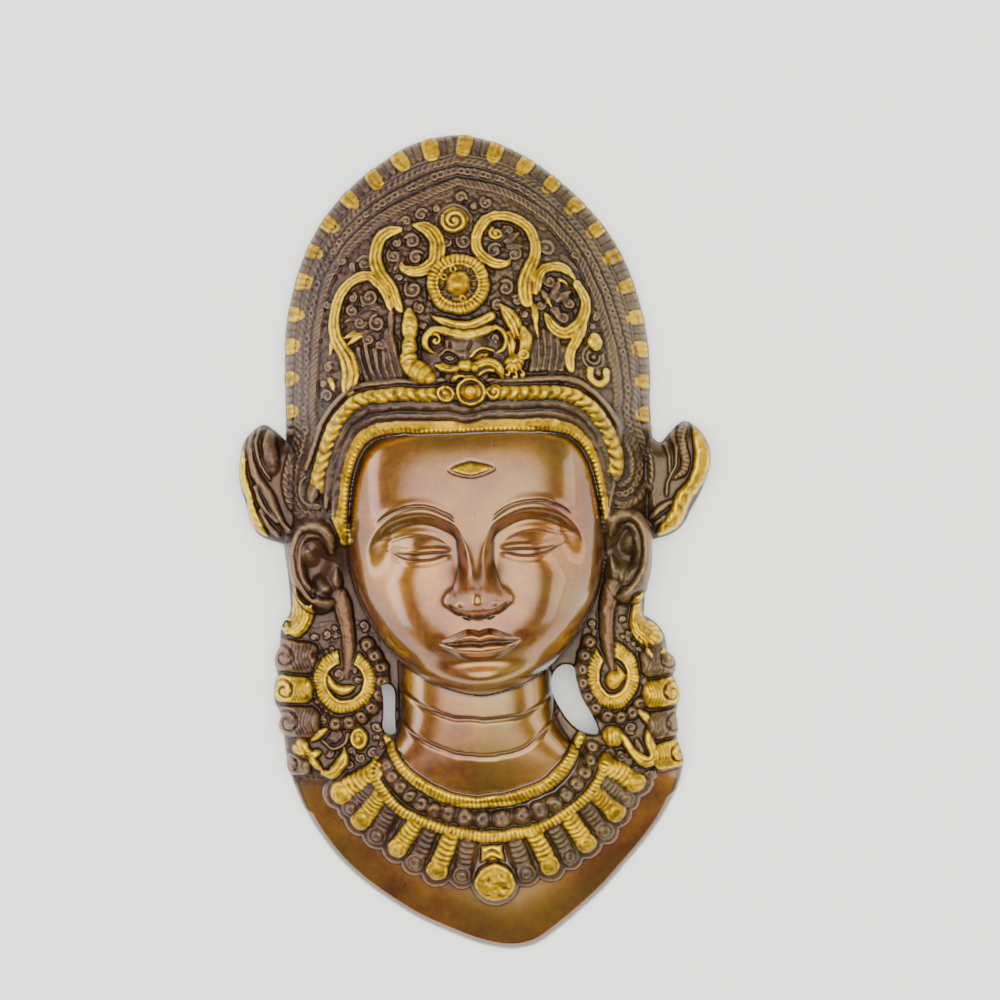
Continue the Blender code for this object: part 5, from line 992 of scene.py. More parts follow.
def brow(wax):
    """Garland rope, mouldings and toothed band that frame the forehead."""
    rope = flow(BROW_ROPE, 1)
    band = flow(TOOTHED_BAND, 1)
    upper, lower = rails(rope, band, 160)
    wax.cord(evenly(upper + (upper - lower) * 0.43, 2), 3.6, 3.4)
    # Two broad soft mouldings between rope and band
    for share, width, height in ((0.35, 5, 4.8), (0.66, 4.4, 4)):
        line = upper * (1 - share) + lower * share
        line[:, 1] -= 2 * bell(line[:, 0] / 9)
        wax.ribbon(evenly(line, 2), width, height, tips=(0.5, 0.5), fade=14, full=2.4)
    # The band is smooth, toothed along its lower edge, and broadens at its left foot
    at, _, across, run = wax.near(band, 6)
    inner = 2.9 - 1.1 * ease(run, 110, 190)
    outer = inner + 2.4 * bell((run - 13) / 30) * ease(run, 0, 10)
    t = np.where(across > 0, across / outer, -across / inner)
    high = 3.3 * rounded((1 - t) * 2.6)
    tooth = wave(run / 1.9) * ease(-across / inner, 0.25, 0.6)
    rib = 0.35 * wave((run + 0.7 * across) / 1.7)
    rib = rib * ease(across, 0, 1.5) * (1 - ease(run, 24, 34))
    high = high * (1 - 0.42 * tooth) - rib
    wax.lay(at, np.where(t < 1, high, -1), 1)
    # The rope: overlapping lobes like a garland, with scales under them
    middle = int(np.argmin(np.abs(rope[:, 0])))
    left, right = rope[middle:0:-1], rope[middle:]
    scales = beside(rope[::2], -ROPE_WIDTH * 0.36)
    wax.ribbon(scales, 3.4, ROPE_HEIGHT * 0.74, 1, pitch=2.9, bite=0.45)
    wax.ribbon(left[::3], 7.4, ROPE_HEIGHT, 1, full=2.2, pitch=4.2, bite=0.34, slant=0.4, bow=2.4)
    wax.ribbon(right[::3], 7.2, ROPE_HEIGHT, 1, full=2.2, pitch=4.2, bite=0.42, slant=-0.4, bow=2.2)
    wax.ribbon([(-63.9, 30.4), (-66.4, 25.8), (-67.8, 22.4)], 6.4, 5.6, tips=(1, 0.7), fade=3)
    wax.cord([(-70.2, 31.6), (-73.3, 28.5), (-73.8, 24.4), (-70.7, 20.4), (-65.6, 19.8)], 1.2, 2.8)
    wax.blob((59.2, 24.8), 5.6, 5, 5.6)
    wax.blob((1.2, 62.2), 14, 11.4, 7.8, 1, power=0.35)
    wax.ring((1.2, 62.2), 5.3, 1.8, 9.2, 1)
    wax.blob((1.2, 62.2), 7.6, 7.6, 10.4, 1)
    wax.blob((-9.2, 61.9), 7.6, 7.6, 7.8, 1, power=0.4)
    wax.ring((-9.2, 61.9), 2.9, 1.3, 9, 1)
    wax.blob((-9.4, 62.1), 3.2, 3.2, 9.4, 1)
    wax.blob((10.4, 61.7), 9.2, 8, 8, 1, power=0.4)
    wax.curl((10.4, 61.7), 3.5, 2.4, 1, 1, 9, 1.4, 0.5)
    # The gilded almond on the forehead
    wax.groove(flow([(-9.5, 30.8), (-5, 33.2), (0, 34.3), (5, 33.2), (9.5, 30.8), (5, 28.7), (0, 27.8),
                     (-5, 28.7)], 1.5, closed=True), 0.6, 0.5)
    at, u, v = wax.frame((0, 31), 0, 11)
    r = (np.abs(u) / 8.4) ** 1.35 + (np.abs(v) / 2.7) ** 1.35
    wax.lay(at, np.where(r < 1, 0.7 * rounded((1 - r) * 3), -1), 1)


def wings(wax):
    """The two ribbon ends that flare from the foot of the crown."""
    wax.blob((-85.8, 42.8), 20, 9.4, 3.6, angle=1.62, power=0.6, point=0.4)
    wax.ribbon([(-90.6, 53), (-91.4, 46), (-89.6, 37.6), (-86.1, 31.4)], 2, 3.4, tips=(0.4, 0.5))
    wax.ribbon([(-93.3, 52), (-94.3, 43.6), (-93, 35.6), (-89.7, 29.4), (-86.9, 24), (-84.4, 17.6),
                (-81, 12)], (3.4, 4.2, 4.4, 4.6, 4.2, 3.4), 3.2, tips=(0.6, 0.4))
    wax.cord([(-96, 50.2), (-97.4, 44), (-97, 40)], 3.2, 2.8)
    wax.ribbon([(-97.4, 43.6), (-98, 34.1), (-96.8, 28), (-95, 22.4)], (2.8, 4, 4.4, 3.8), 4.4, 1,
               (0.6, 0.9), full=2.8, pitch=5.6, bite=0.22, slant=0.7)
    wax.ribbon([(-95.4, 22.8), (-93.9, 15.1), (-90, 8.2)], (3.8, 5, 4.2), 4.6, 1, (0.9, 0.5), full=2.8,
               pitch=4.4, bite=0.22, slant=-0.5)
    wax.ribbon([(-92.6, 28.4), (-91, 22.8), (-88.2, 17.8), (-83.9, 13.6)], (2.6, 3.4, 2.6), 2.6)
    wax.ribbon([(-91.2, 18.6), (-88.6, 12.4), (-84.4, 8.2)], (2.4, 3.6, 2.4), 2.8)
    wax.ribbon([(-86, 22), (-82.6, 14.4), (-79.6, 9.6)], 2.4, 2.2)
    wax.ribbon([(96.3, 44.6), (98.3, 36), (97.4, 27.5), (92.6, 19)], (6.4, 8.4, 8.6, 7.4), 4.8, 1,
               (0.7, 0.9), full=3, pitch=7, bite=0.16, slant=0.9)
    wax.ribbon([(92.4, 19.8), (87.8, 13), (85, 7), (78.7, 0.6)], (7, 8.2, 7.8, 5.4), 4.8, 1, (0.8, 0.6),
               full=3, pitch=5.4, bite=0.2, slant=-0.9)
    wax.ribbon([(91.6, 47), (89.2, 42), (89.3, 36), (90.6, 31), (88.6, 26), (85, 23.2)],
               (3, 4.2, 4.4, 4, 3), 3, tips=(0.6, 0.4), full=3, pitch=1.8, bite=0.5)
    wax.ribbon([(88, 46.6), (86, 41), (86.6, 34.4), (86, 28.4), (82.6, 22.4), (81.4, 16.4)], 1.3, 2.6)
    wax.ribbon([(82.4, 38), (83.6, 32), (83.4, 25.6)], 1.2, 1.8)
    for line in ([(74, 6.7), (79.1, 11.1), (84.2, 13.9)], [(76.6, 4.6), (80.4, 7), (82.6, 9.8)]):
        wax.ribbon(line, (2.6, 3.6, 2.6), 3, tips=(0.5, 0.5), lines=1, cut=0.6)


def ears(wax):
    """Long-lobed ears: a broad smooth rim, a second fold within and a deep hollow."""
    left = [(-61, -0.5), (-61.8, 5.5), (-65, 9.8), (-70, 10.8), (-75.2, 8.4), (-78.3, 2.6),
            (-78.2, -5), (-75.6, -12.6), (-70.8, -18.8), (-65, -22.4), (-59.5, -22)]
    right = [(56.6, 1.5), (58, 7.2), (63, 9.2), (68.2, 7.2), (71.2, 1.5), (71, -6.5), (68.6, -16),
             (64.3, -22.6), (58.8, -25.6), (54.5, -23.5)]
    for line, centre, tilt in ((left, LEFT_EAR, 1.25), (right, RIGHT_EAR, 1.75)):
        at, u, v = wax.frame(centre, tilt, 20)
        away = np.hypot(u / 17.5, v / 8.5)
        wax.rise[at] = np.where(away < 1, -4.6 * bell(away), wax.rise[at])
        wax.gilt[at] *= away > 1
        wax.fold(line, 4.6, 5.2)
    wax.fold([(-65.4, 6), (-70.6, 6.6), (-74, 2.6), (-74.6, -4), (-73, -12), (-69.6, -18.6)], 2.2, 2.6,
             tips=(0.2, 0.2))
    wax.fold([(60.8, 4.6), (65.2, 4.2), (67.6, 0), (67.6, -6), (65.8, -13), (62.6, -19.6)], 2.2, 2.6,
             tips=(0.2, 0.2))
    for lump in ([(-70.4, -0.4), (-70, -2.6)], [(-66.8, -14), (-65.8, -15.8)],
                 [(64.6, -1.8), (64.2, -4)], [(61.8, -14.6), (61, -16.6)]):
        wax.fold(lump, 5.2, 3.4, tips=(0.9, 0.9))
    wax.fold([(-59, -7), (-59.6, -12), (-59.2, -18)], 3.4, 1.8, tips=(0.1, 0.6))
    wax.fold([(56.4, -7), (57, -12), (56.6, -19)], 3.4, 1.8, tips=(0.1, 0.6))


LOBES = [
    ([(-59.6, -19), (-57.8, -25), (-56.4, -34), (-56.2, -44), (-57.6, -54)], (8.4, 7, 6.2, 5.8, 5)),
    ([(56.8, -20), (54.8, -27), (53.4, -37), (53.4, -47), (54.8, -56)], (8, 6.8, 6, 5.4, 4.6))]


def lobes(wax):
    """The drawn-out lobes of the ears, which hang through the earrings."""
    wax.polished = 0.45
    for line, width in LOBES:
        wax.strap(line, width, 1.2, (0.9, 0.7))
    wax.polished = 0


def earrings(wax):
    """Toothed rings with a crescent in them, and a row of studs round each."""
    wax.ring(LEFT_DROP, 11.2, 5.2, 3.8, 1, teeth=48, gap=(1.42, 0.33), full=3)
    wax.ring(LEFT_DROP, 8.6, 1.8, 3.6, 1, gap=(1.42, 0.36))
    wax.ribbon([(-64.8, -52.4), (-63.6, -57.2), (-59.6, -59.4), (-54.6, -57.8)], (2.8, 4.6, 4.8, 3.2),
               3.6, 1, (0.4, 0.4), 3)
    wax.ring(RIGHT_DROP, 9, 4.8, 3.8, 1, 1.28, 46, (1.80, 0.36), 3)
    wax.ring(RIGHT_DROP, 6.6, 1.8, 3.6, 1, 1.34, gap=(1.80, 0.40))
    wax.blob((55.4, -60.6), 8.6, 9, 3.8, 1)
    wax.ribbon([(55, -62), (58.4, -59.6), (57, -54)], (5, 4.6, 2), 3.6, 1, (0.8, 0.3))
    left = [(-48, -40.5), (-44.9, -45.4), (-43, -50.6), (-42.6, -56.4), (-44, -62.2), (-47.4, -67.4),
            (-52.2, -71.2), (-57.7, -73.4), (-63.2, -73.4)]
    right = [(45.8, -44.1), (43.5, -49.6), (42, -55.4), (41.7, -61.2), (43.6, -66.8), (47, -72),
             (51.8, -75.6), (57.4, -76.4), (62.4, -75), (66, -71.4)]
    for studs, middle in ((left, LEFT_DROP), (right, RIGHT_DROP)):
        wax.cord(studs, STUD_SIZE + 1.4, 2.4)
        for spot in studs:
            angle = atan2(spot[1] - middle[1], spot[0] - middle[0])
            wax.blob(spot, STUD_SIZE + 1.5, STUD_SIZE + 1.5, 4.4, 0, angle, 0.3)
            wax.ring(spot, 1.4, 0.9, wax.value_at(wax.rise, spot) + 0.15)
            wax.dent(spot, 0.9, 1)
    for middle, side, stretch in ((LEFT_DROP, -1, 1), (RIGHT_DROP, 1, 1.2)):
        for k in range(14):
            turn = pi / 2 - side * (0.35 + k * 0.18)
            wax.ring(polar(middle, 14.6, turn, stretch), 0.7, 0.9, 2)


# Locks of hair: centre, length, width, side, gilding
LOCKS = [
    (-79.4, -44.4, 21, 14.6, -1, 0), (-80.6, -58.2, 18, 12.6, -1, 1), (-79.4, -72, 20, 14.4, -1, 0),
    (-80.6, -90.4, 12, 9.4, -1, 0), (75.6, -53.4, 19, 14.4, 1, 0), (76, -67.4, 18.6, 13, 1, 1),
    (76.4, -80.8, 17.4, 13, 1, 0), (78, -94, 17.6, 12.4, 1, 1)]
# Curls that fill the ground between locks and necklace: centre and radius
FILLERS = [
    (-48.1, -86.6, 2.7), (-53.4, -88.2, 2.5), (-58.6, -90.6, 2.4), (-63.6, -78.4, 3.2),
    (-68.4, -71.6, 2.4), (-57.4, -85.2, 2.2), (-44.6, -83, 2), (-70.6, -64, 1.9), (-71.4, -54.2, 1.9),
    (-70.6, -36.6, 2), (-65.4, -35.6, 2.2), (-61.4, -33.4, 1.8), (-66.2, -85.6, 2.2), (61.6, -81.6, 3),
    (56.6, -92.4, 2.8), (63, -99, 2.6), (52.2, -91.6, 2.2), (69, -101.2, 2.4), (68.4, -62, 1.9),
    (67.6, -70.6, 2), (60.6, -35.4, 1.9), (62.6, -41.4, 2), (50, -86.6, 2), (60, -95.6, 2),
    (68.2, -48.6, 1.8), (45.4, -79.6, 1.8)]


def hair(wax):
    """Locks, leaves and ribbons that fall from the ears to the shoulders."""
    for x, y, radius in FILLERS:
        wax.curl((x, y), radius, 0.9 * x, 1 if x < 0 else -1, height=2.2)
    for x, y, long, wide, side, gilt in LOCKS:
        wax.roll((x, y), long, wide, 6.4, gilt, 0.1 * side)
        tip = np.array([x + side * long * 0.22, y])
        turn = np.linspace(0, 2.7 * pi, 16)
        size = wide * (0.40 - 0.31 * turn / turn[-1])
        wax.groove(np.stack([tip[0] + side * size * np.cos(turn), tip[1] + size * np.sin(turn)], 1),
                   0.85, 1.5, 1)
        for k in range(6):
            x_cut = x - side * long * (0.02 + 0.072 * k)
            wax.groove([(x_cut, y + wide * 0.42), (x_cut + side * 2, y), (x_cut, y - wide * 0.42)],
                       0.62, 0.9, 1.5)
    # Pleated gold leaves over the uppermost locks
    wax.ribbon([(-78.2, -14.6), (-75.6, -21), (-75.4, -27), (-78, -31.6), (-82, -33.4)],
               (4, 8.4, 10.6, 9.6, 7), 5.4, 1, (0.6, 0.6), 4, lines=5, cut=0.8)
    wax.curl((-82.6, -31.2), 3.4, 1, 1, 1, 4.8, 1.2, 0.6)
    wax.ribbon([(67.6, -25.6), (66.4, -32), (67.2, -38.6), (71.2, -42.6)], (5, 5.4, 8, 12), 5.2, 1,
               (0.8, 0.9), 3, lines=5, cut=0.8)
    wax.blob((71.6, -43), 13.4, 9.4, 5, 1, -0.5)
    for k in range(7):
        turn = -1.9 + 0.34 * k
        wax.groove([polar((68.2, -39.6), out, turn) for out in (2, 9.4)], 0.6, 0.9, 1.5)
    # A swirl of gold on the right's first lock
    wax.ribbon([(69.6, -48.4), (71.4, -51), (73.6, -52.8)], (3.4, 4, 3), 6.2, 1, (0.8, 0.4), 3)
    wax.ribbon([(75, -50.6), (78.2, -49.8), (79.6, -52.6), (77.4, -54.6)], (2.4, 3.8, 3.6, 2.4), 6.6, 1,
               (0.5, 0.4), 3)
    # Left: a ragged gold star, leaves and a drop
    for x0, y0, x1, y1, wide in (
            (-82.8, -83.4, -73, -85.6, 7), (-79, -78.6, -76.6, -87.6, 6.6), (-77, -85, -69.6, -92.8, 5),
            (-75.4, -86.4, -69.4, -84.8, 4.4)):
        size, angle = hypot(x1 - x0, y1 - y0), atan2(y1 - y0, x1 - x0)
        wax.blob(((x0 + x1) / 2, (y0 + y1) / 2), size, wide, 4.6, 1, angle, 0.5, 0.3)
        wax.groove([(x0, y0), (x1, y1)], 0.7, 0.8, 2)
    wax.ribbon([(-69.4, -93.6), (-65.4, -94.2), (-61.2, -89.4), (-60.2, -83.6)], (4, 6.2, 6.4, 3), 4.4,
               1, (0.7, 0.3), lines=1, cut=1)
    wax.ribbon([(-73.8, -80), (-70.3, -77.3), (-67.5, -75.5)], (3.4, 4.6, 3.6), 3.8, 1, (0.6, 0.6), 3,
               lines=1, cut=0.7)
    wax.ribbon([(-69, -80.6), (-64.8, -83.8), (-59.6, -81.6), (-58.4, -78)], 1.9, 3)
    wax.blob((-64.4, -79.6), 7.4, 6, 2.6)
    wax.blob((-53.8, -80), 8, 10.4, 3.4, 1, power=0.35)
    wax.ring((-53.8, -80), 2.9, 1.4, 4.2, 1, 1.25)
    wax.blob((-53.8, -80.4), 3.6, 4.4, 4.6, 1)
    # Right: a knot, the ribbon that runs from it, and what hangs between
    wax.blob((54, -84.5), 9.8, 10.4, 5.8, 1)
    for k in range(4):
        wax.groove(
            [(51.2 + 1.9 * k, -80.4), (50.8 + 2 * k, -84.6), (51.4 + 1.9 * k, -88.6)], 0.6, 0.7, 2)
    wax.ribbon([(57.6, -84.6), (60.5, -89.8), (64.6, -94.4), (67.9, -95.9), (70.4, -93.2), (69.2, -88),
                (68.4, -83)], (4, 4.4, 5.2, 5.8, 5.4, 4.8, 3.6), 4.8, 1, (0.9, 0.6), 4, lines=1)
    wax.ribbon([(65.8, -74.8), (68.8, -78.2), (71.2, -81)], (4, 4.8, 4.4), 4.2, 1, (0.8, 0.8), 3,
               lines=1, cut=0.6)
    wax.blob((64.4, -89.6), 8.4, 5.6, 3.6, 0, 1.9, 0.5, 0.6)
    wax.groove([(63.2, -87), (64.6, -91.6)], 0.7, 0.9, 1)


# Middle lines of the necklace, and each pendant's root, tip and gilding
COLLAR = [
    (-41.8, -80.5), (-37.3, -90), (-29.5, -98.4), (-18, -105.6), (-5, -108.8), (8, -108),
    (21.5, -103.8), (32, -96), (40.3, -84.5)]
STUD_ROW = [
    (-43.8, -88.6), (-40.4, -95.4), (-36.2, -101), (-29.6, -107.6), (-21.4, -111.9), (-12, -114.6),
    (-2, -116.2), (8, -116), (17.6, -114.6), (26.4, -111.4), (34.7, -105.4), (40.4, -98.8),
    (43.8, -92.4), (45.4, -86)]
LOWER_COLLAR = [
    (-46, -89.6), (-48.2, -94.6), (-43.8, -103.2), (-37, -110.8), (-27.5, -116.2), (-14.6, -120.8),
    (-1.3, -123.4), (9.5, -123), (20.4, -120.8), (31.4, -115.6), (40.8, -109), (47.4, -100.6),
    (50.6, -93.6)]
PENDANTS = [((-48.5, -94.5), (-62.6, -102.8), 1), ((-50, -100.5), (-58.9, -109.3), 0),
            ((-46, -104.5), (-54.6, -114.4), 1), ((-40.8, -108.5), (-48.2, -121.6), 0),
            ((-31, -116.4), (-39.8, -127.2), 1), ((-25, -118.5), (-32.4, -133.6), 0),
            ((-16.5, -121.5), (-23.4, -137.4), 1), ((-9.5, -123.4), (-13, -139.8), 0),
            ((9.8, -124), (13.9, -139.8), 0), ((18.2, -122.4), (24.4, -137.6), 1),
            ((26, -119.6), (33.2, -134.4), 0), ((32.6, -116.4), (40.2, -129.2), 1),
            ((39, -112.4), (48.2, -124.2), 0), ((44.4, -107.4), (53.4, -116.6), 1),
            ((48, -102.4), (58, -111.4), 0), ((50.2, -96), (62.6, -104.4), 1)]


def necklace(wax):
    """Two finely ribbed bands with a row of studs between, and the pendants."""
    chance = np.random.default_rng(12)
    for root, tip, gilt in sorted(PENDANTS, key=lambda pendant: pendant[2]):
        wide = PENDANT_WIDTH * (1.16 if gilt else 1) * chance.uniform(0.95, 1.05)
        way = np.subtract(tip, root)
        angle = atan2(way[1], way[0])
        size = hypot(*way)
        end = np.add(root, way * 0.86)
        wax.ribbon([root, end], wide + 2.6, 1.5)
        wax.blob(tip, wide * 1.6, wide * 1.5, 1.6, angle=angle, power=0.2)
        wax.ribbon([root, end], (wide * 0.96, wide * 1.06), 3.1 + gilt * 0.7, gilt, full=3,
                   pitch=size * 0.86 / 6, bite=0.42, bow=1.6)
        over = np.add(root, way * 0.96)
        wax.blob(over, wide * (1.2 - 0.1 * gilt), wide * 1.1, 4 + gilt * 0.2, gilt, angle, 0.3)
        wax.groove(
            [polar(tip, wide * 0.34, turn) for turn in np.linspace(0, 6.3, 12)], 0.7, 0.8 - 0.3 * gilt)
    # The middle pendant, the largest, of hammered gold
    wax.block((0.3, -130.3), 10.4, 7.6, 3.4, 1, 0, 1.8)
    wax.groove([(-4, -131.4), (0.3, -128.9), (4.6, -131.4)], 0.8, 1.1, 1)
    wax.groove([(-3.6, -134.2), (0.3, -132.2), (4.4, -134.2)], 0.9, 1.6, 1)
    wax.blob((0.8, -143.8), 19.4, 19, 2.2, power=0.3)
    wax.blob((0.8, -143.4), 17, 16.6, 5.2, 1, power=0.3)
    wax.groove([(0.8 + 6.6 * cos(turn), -143.2 + 6.4 * sin(turn)) for turn in np.linspace(0, 6.3, 20)],
               0.8, 0.6)
    for _ in range(26):
        turn, out = chance.uniform(0, 6.3), 6 * chance.uniform(0, 1) ** 0.5
        wax.dent(polar((0.8, -143.4), out, turn), 1.5, 0.35)
    line = flow(STUD_ROW, 0.8)
    total = lengths(line)[-1]
    wax.ribbon(line[::3], 8.4, 2)
    sizes = [5, 5, 5.2, 5.4, 5.6, 6, 6.4, 6.8, 7, 8.6, 7.4, 6.8, 6.4, 6, 5.6, 5.4, 5, 4.8]
    s = 0
    for size in np.array(sizes) * total / sum(sizes):
        here, angle = along(line, s + size / 2)
        wax.blob(here, size * 1.12, min(size, 7.2) * 1.16, 4, 0, angle, 0.3)
        wax.ring(here, size * 0.27, 0.9, wax.value_at(wax.rise, here) + 0.1)
        wax.dent(here, 0.7, 0.9)
        s += size
    wax.ribbon(COLLAR, (4.4, 5.4, 6.2, 6.4, 6.4, 6, 5), 4, 1, full=2.6, pitch=1.8, bite=0.5, slant=0.15)
    wax.ribbon(LOWER_COLLAR, (5.4, 5.6, 5.8, 5.8, 5.6, 5.4), 4.2, 1, full=2.6, pitch=1.8, bite=0.56)


def neck_lines(wax):
    """The two engraved folds of the neck, and a fine line over each eye."""
    upper = [
        (-34, -61), (-24, -67.5), (-14, -71.2), (-3, -72.8), (9, -72.9), (18, -71.2), (28.5, -65.5)]
    lower = [(-38, -69), (-31, -77.5), (-22, -83.5), (-10, -87.6), (3, -88.6),
             (14, -86.8), (24.5, -80), (31, -71.5)]
    for line in (upper, lower):
        wax.groove(line, 1.5, 1.1)
    for side in (-1, 1):
        wax.groove([(side * x, y + 2.6) for x, y in BROW_ARC[2:8]], 1.1, 1.2, 5)


def ornament(wax):
    """Lays all the ornament: the modelled ground first, then what stands on it."""
    field = inside(
        np.vstack([flow(LEFT_INNER_ARCH, 1)[::-1], flow(RIGHT_INNER_ARCH, 1)[1:]]), wax.x,
        wax.y) & (wax.y[:, None] > 60)
    ground = inside(outline(1), wax.x, wax.y) & (wax.shine < 0.5) & ~field
    x, y = np.abs(wax.x[None, :]), wax.y[:, None]
    crown = ground & (y > 12) & (x < 77)
    wax.pebbles(field, 2.2, 1, -0.7, 3)
    wax.pebbles(crown, 1.9, 0.55, 0, 4)
    locks = ground & (y < -30) & (y > -97) & (x > 43)
    wax.pebbles(locks, 2.2, 0.6, 0, 5)
    crown_border(wax)
    crown_field(wax, field)
    brow(wax)
    wings(wax)
    hair(wax)
    ears(wax)
    earrings(wax)
    lobes(wax)
    necklace(wax)
    wax.stuff(locks, (2.8, 2.3, 1.9), 1.9, 32)
    neck_lines(wax)
    wax.warp(0.35, 7, 11)
    wax.warp(0.18, 2.4, 13)
    uneven = 0.07 * wax.rise * wax.cloud(3, 21) + 0.16 * wax.cloud(1.5, 22)
    wax.rise = np.where(wax.rise > 0.8, wax.rise + uneven, wax.rise)
    wax.soften()


# How each stretch of a piece's edge ends: against its neighbour, at an opening
# or at the mask's outer rim
CUT = 0
OPENING = 1
RIM = 2


def marked(line, kind=CUT):
    """A stretch of edge, with its kind in a third column."""
    return np.column_stack([line, np.full(len(line), float(kind))])


def arc(points, kind=CUT):
    """A smooth stretch of edge through points."""
    return marked(flow(points, EDGE_STEP), kind)


def straight_arc(line):
    """A stretch of edge that follows a line as it is."""
    return marked(evenly(line, EDGE_STEP))


def beside(line, gap):
    """The line moved sideways, to the left of its run where gap is positive."""
    way = np.gradient(line, axis=0)
    way /= np.hypot(*way.T)[:, None]
    return line + np.stack([-way[:, 1], way[:, 0]], 1) * np.reshape(gap, (-1, 1))


def split_opening(points, spots):
    """The three stretches of an opening's edge between the vertices nearest to three spots."""
    loop = flow(points, EDGE_STEP, closed=True)[:-1]
    first, second, third = (int(np.argmin(np.hypot(*(loop - spot).T))) for spot in spots)
    loop = np.roll(loop, -first, axis=0)
    loop = np.vstack([loop, loop[:1]])
    count = len(loop) - 1
    second, third = (second - first) % count, (third - first) % count
    cuts = [loop[:second + 1], loop[second:third + 1], loop[third:]]
    return [marked(line, OPENING) for line in cuts]


def chain(*arcs):
    """Stretches joined head to tail into a closed loop."""
    parts = []
    for before, line in zip((arcs[-1],) + arcs[:-1], arcs):
        line = line.copy()
        line[0, 2] = max(line[0, 2], before[-1, 2])
        parts.append(line[:-1])
    return np.vstack(parts)


def egg(first, last):
    """The edge of the face between two turns in degrees, from its left side round the chin."""
    turn = np.radians(np.linspace(first, last, 90))
    return np.stack([-FACE_HALF_WIDTH * np.cos(turn), FACE_MIDDLE - FACE_TO_CHIN * np.sin(turn)], 1)


def piece_edges():
    """The closed edge of each piece, and of the hole in it. Neighbours share their stretches."""
    band = flow(TOOTHED_BAND, EDGE_STEP)
    run = lengths(band)
    half = 2.8 - 1.1 * ease(run, 110, 190)
    ends = ease(run, 0, 8) * ease(run[-1] - run, 0, 8)
    brow_edge = straight_arc(beside(band, -half * ends))
    left_end, right_end = brow_edge[0, :2], brow_edge[-1, :2]
    left_jaw = straight_arc(np.vstack([left_end, egg(2, 40.2)]))
    chin = straight_arc(egg(40.2, 136.7))
    right_jaw = straight_arc(np.vstack([egg(136.7, 178), right_end]))

    neck_left, low_left, locks_left = split_opening(
        LEFT_GAP, [(-41.5, -58.1), (-38.7, -78.4), (-42.6, -79.1)])
    neck_right, low_right, locks_right = split_opening(
        RIGHT_GAP, [(36.2, -53.8), (39.6, -81.4), (47.2, -83.2)])
    throat_left = arc([chin[0, :2], (-41.4, -44), (-40.4, -51), neck_left[0, :2]])
    throat_right = arc([chin[-1, :2], (37.6, -48), neck_right[0, :2]])
    collar = beside(flow(COLLAR, EDGE_STEP), 2.7)
    collar = collar[(collar[:, 0] > -37) & (collar[:, 0] < 37.5)]
    collar_edge = straight_arc(np.vstack([low_left[0, :2], collar, low_right[0, :2]]))
    shoulder_left = arc(
        [low_left[-1, :2], (-45.5, -84.5), (-52, -91.5), (-62, -95), (-75, -94), CHEST_RUN[-1]])
    shoulder_right = arc(
        [low_right[-1, :2], (49.5, -88), (56, -94.5), (66, -99.5), (76, -100.5), CHEST_RUN[0]])
    temple_left = arc([LEFT_WING_RUN[0], (-79.5, 12.5), (-70, 14.8), (-60, 14.5), (-57, 9.5), left_end])
    temple_right = arc([RIGHT_WING_RUN[-1], (74.6, 6), (71, 12), (62, 13.5), (57, 9.5), right_end])

    arch = beside(
        np.vstack([flow(LEFT_INNER_ARCH, EDGE_STEP)[::-1], flow(RIGHT_INNER_ARCH, EDGE_STEP)[1:]]),
        -2.3)
    arch = arch[arch[:, 1] > 57.5]
    rope = beside(flow(BROW_ROPE, EDGE_STEP), 3.3)
    rope = rope[rope[:, 1] > 54]
    field = straight_arc(np.vstack([arch, rope[::-1], arch[:1]]))[:-1]

    crown_rim, right_wing_rim, chest_rim, left_wing_rim = (
        arc(run, RIM) for run in (CROWN_RUN, RIGHT_WING_RUN, CHEST_RUN, LEFT_WING_RUN))
    right_hair_rims, left_hair_rims = (
        [arc(run, RIM) for run in runs] for runs in (RIGHT_HAIR_RUNS, LEFT_HAIR_RUNS))
    return {
        "crown_field": [field],
        "crown_border": [chain(left_wing_rim, crown_rim, right_wing_rim, temple_right,
                               brow_edge[::-1], temple_left[::-1]), field],
        "face": [chain(brow_edge, right_jaw[::-1], chin[::-1], left_jaw[::-1])],
        "left_ear_and_locks": [chain(temple_left, left_jaw, throat_left, locks_left[::-1],
                                     shoulder_left, *left_hair_rims)],
        "right_ear_and_locks": [chain(temple_right, right_jaw[::-1], throat_right, locks_right[::-1],
                                      shoulder_right, *[rim[::-1] for rim in right_hair_rims[::-1]])],
        "neck": [chain(chin, throat_right, neck_right, collar_edge[::-1], neck_left[::-1],
                       throat_left[::-1])],
        "collar_and_shoulder_plate": [chain(shoulder_left, chest_rim[::-1], shoulder_right[::-1],
                                            low_right[::-1], collar_edge[::-1], low_left)],
    }


def blurred(values, radius):
    """The map averaged over a square, twice, so that it is nearly a round blur."""
    reach = max(1, int(round(radius / CELL)))
    size = 2 * reach + 1
    for _ in range(2):
        for axis in (0, 1):
            pad = [(reach + 1, reach) if k == axis else (0, 0) for k in (0, 1)]
            total = np.cumsum(np.pad(values, pad, mode="edge"), axis=axis)
            count = values.shape[axis]
            high = total.take(np.arange(size, size + count), axis=axis)
            low = total.take(np.arange(0, count), axis=axis)
            values = (high - low) / size
    return values


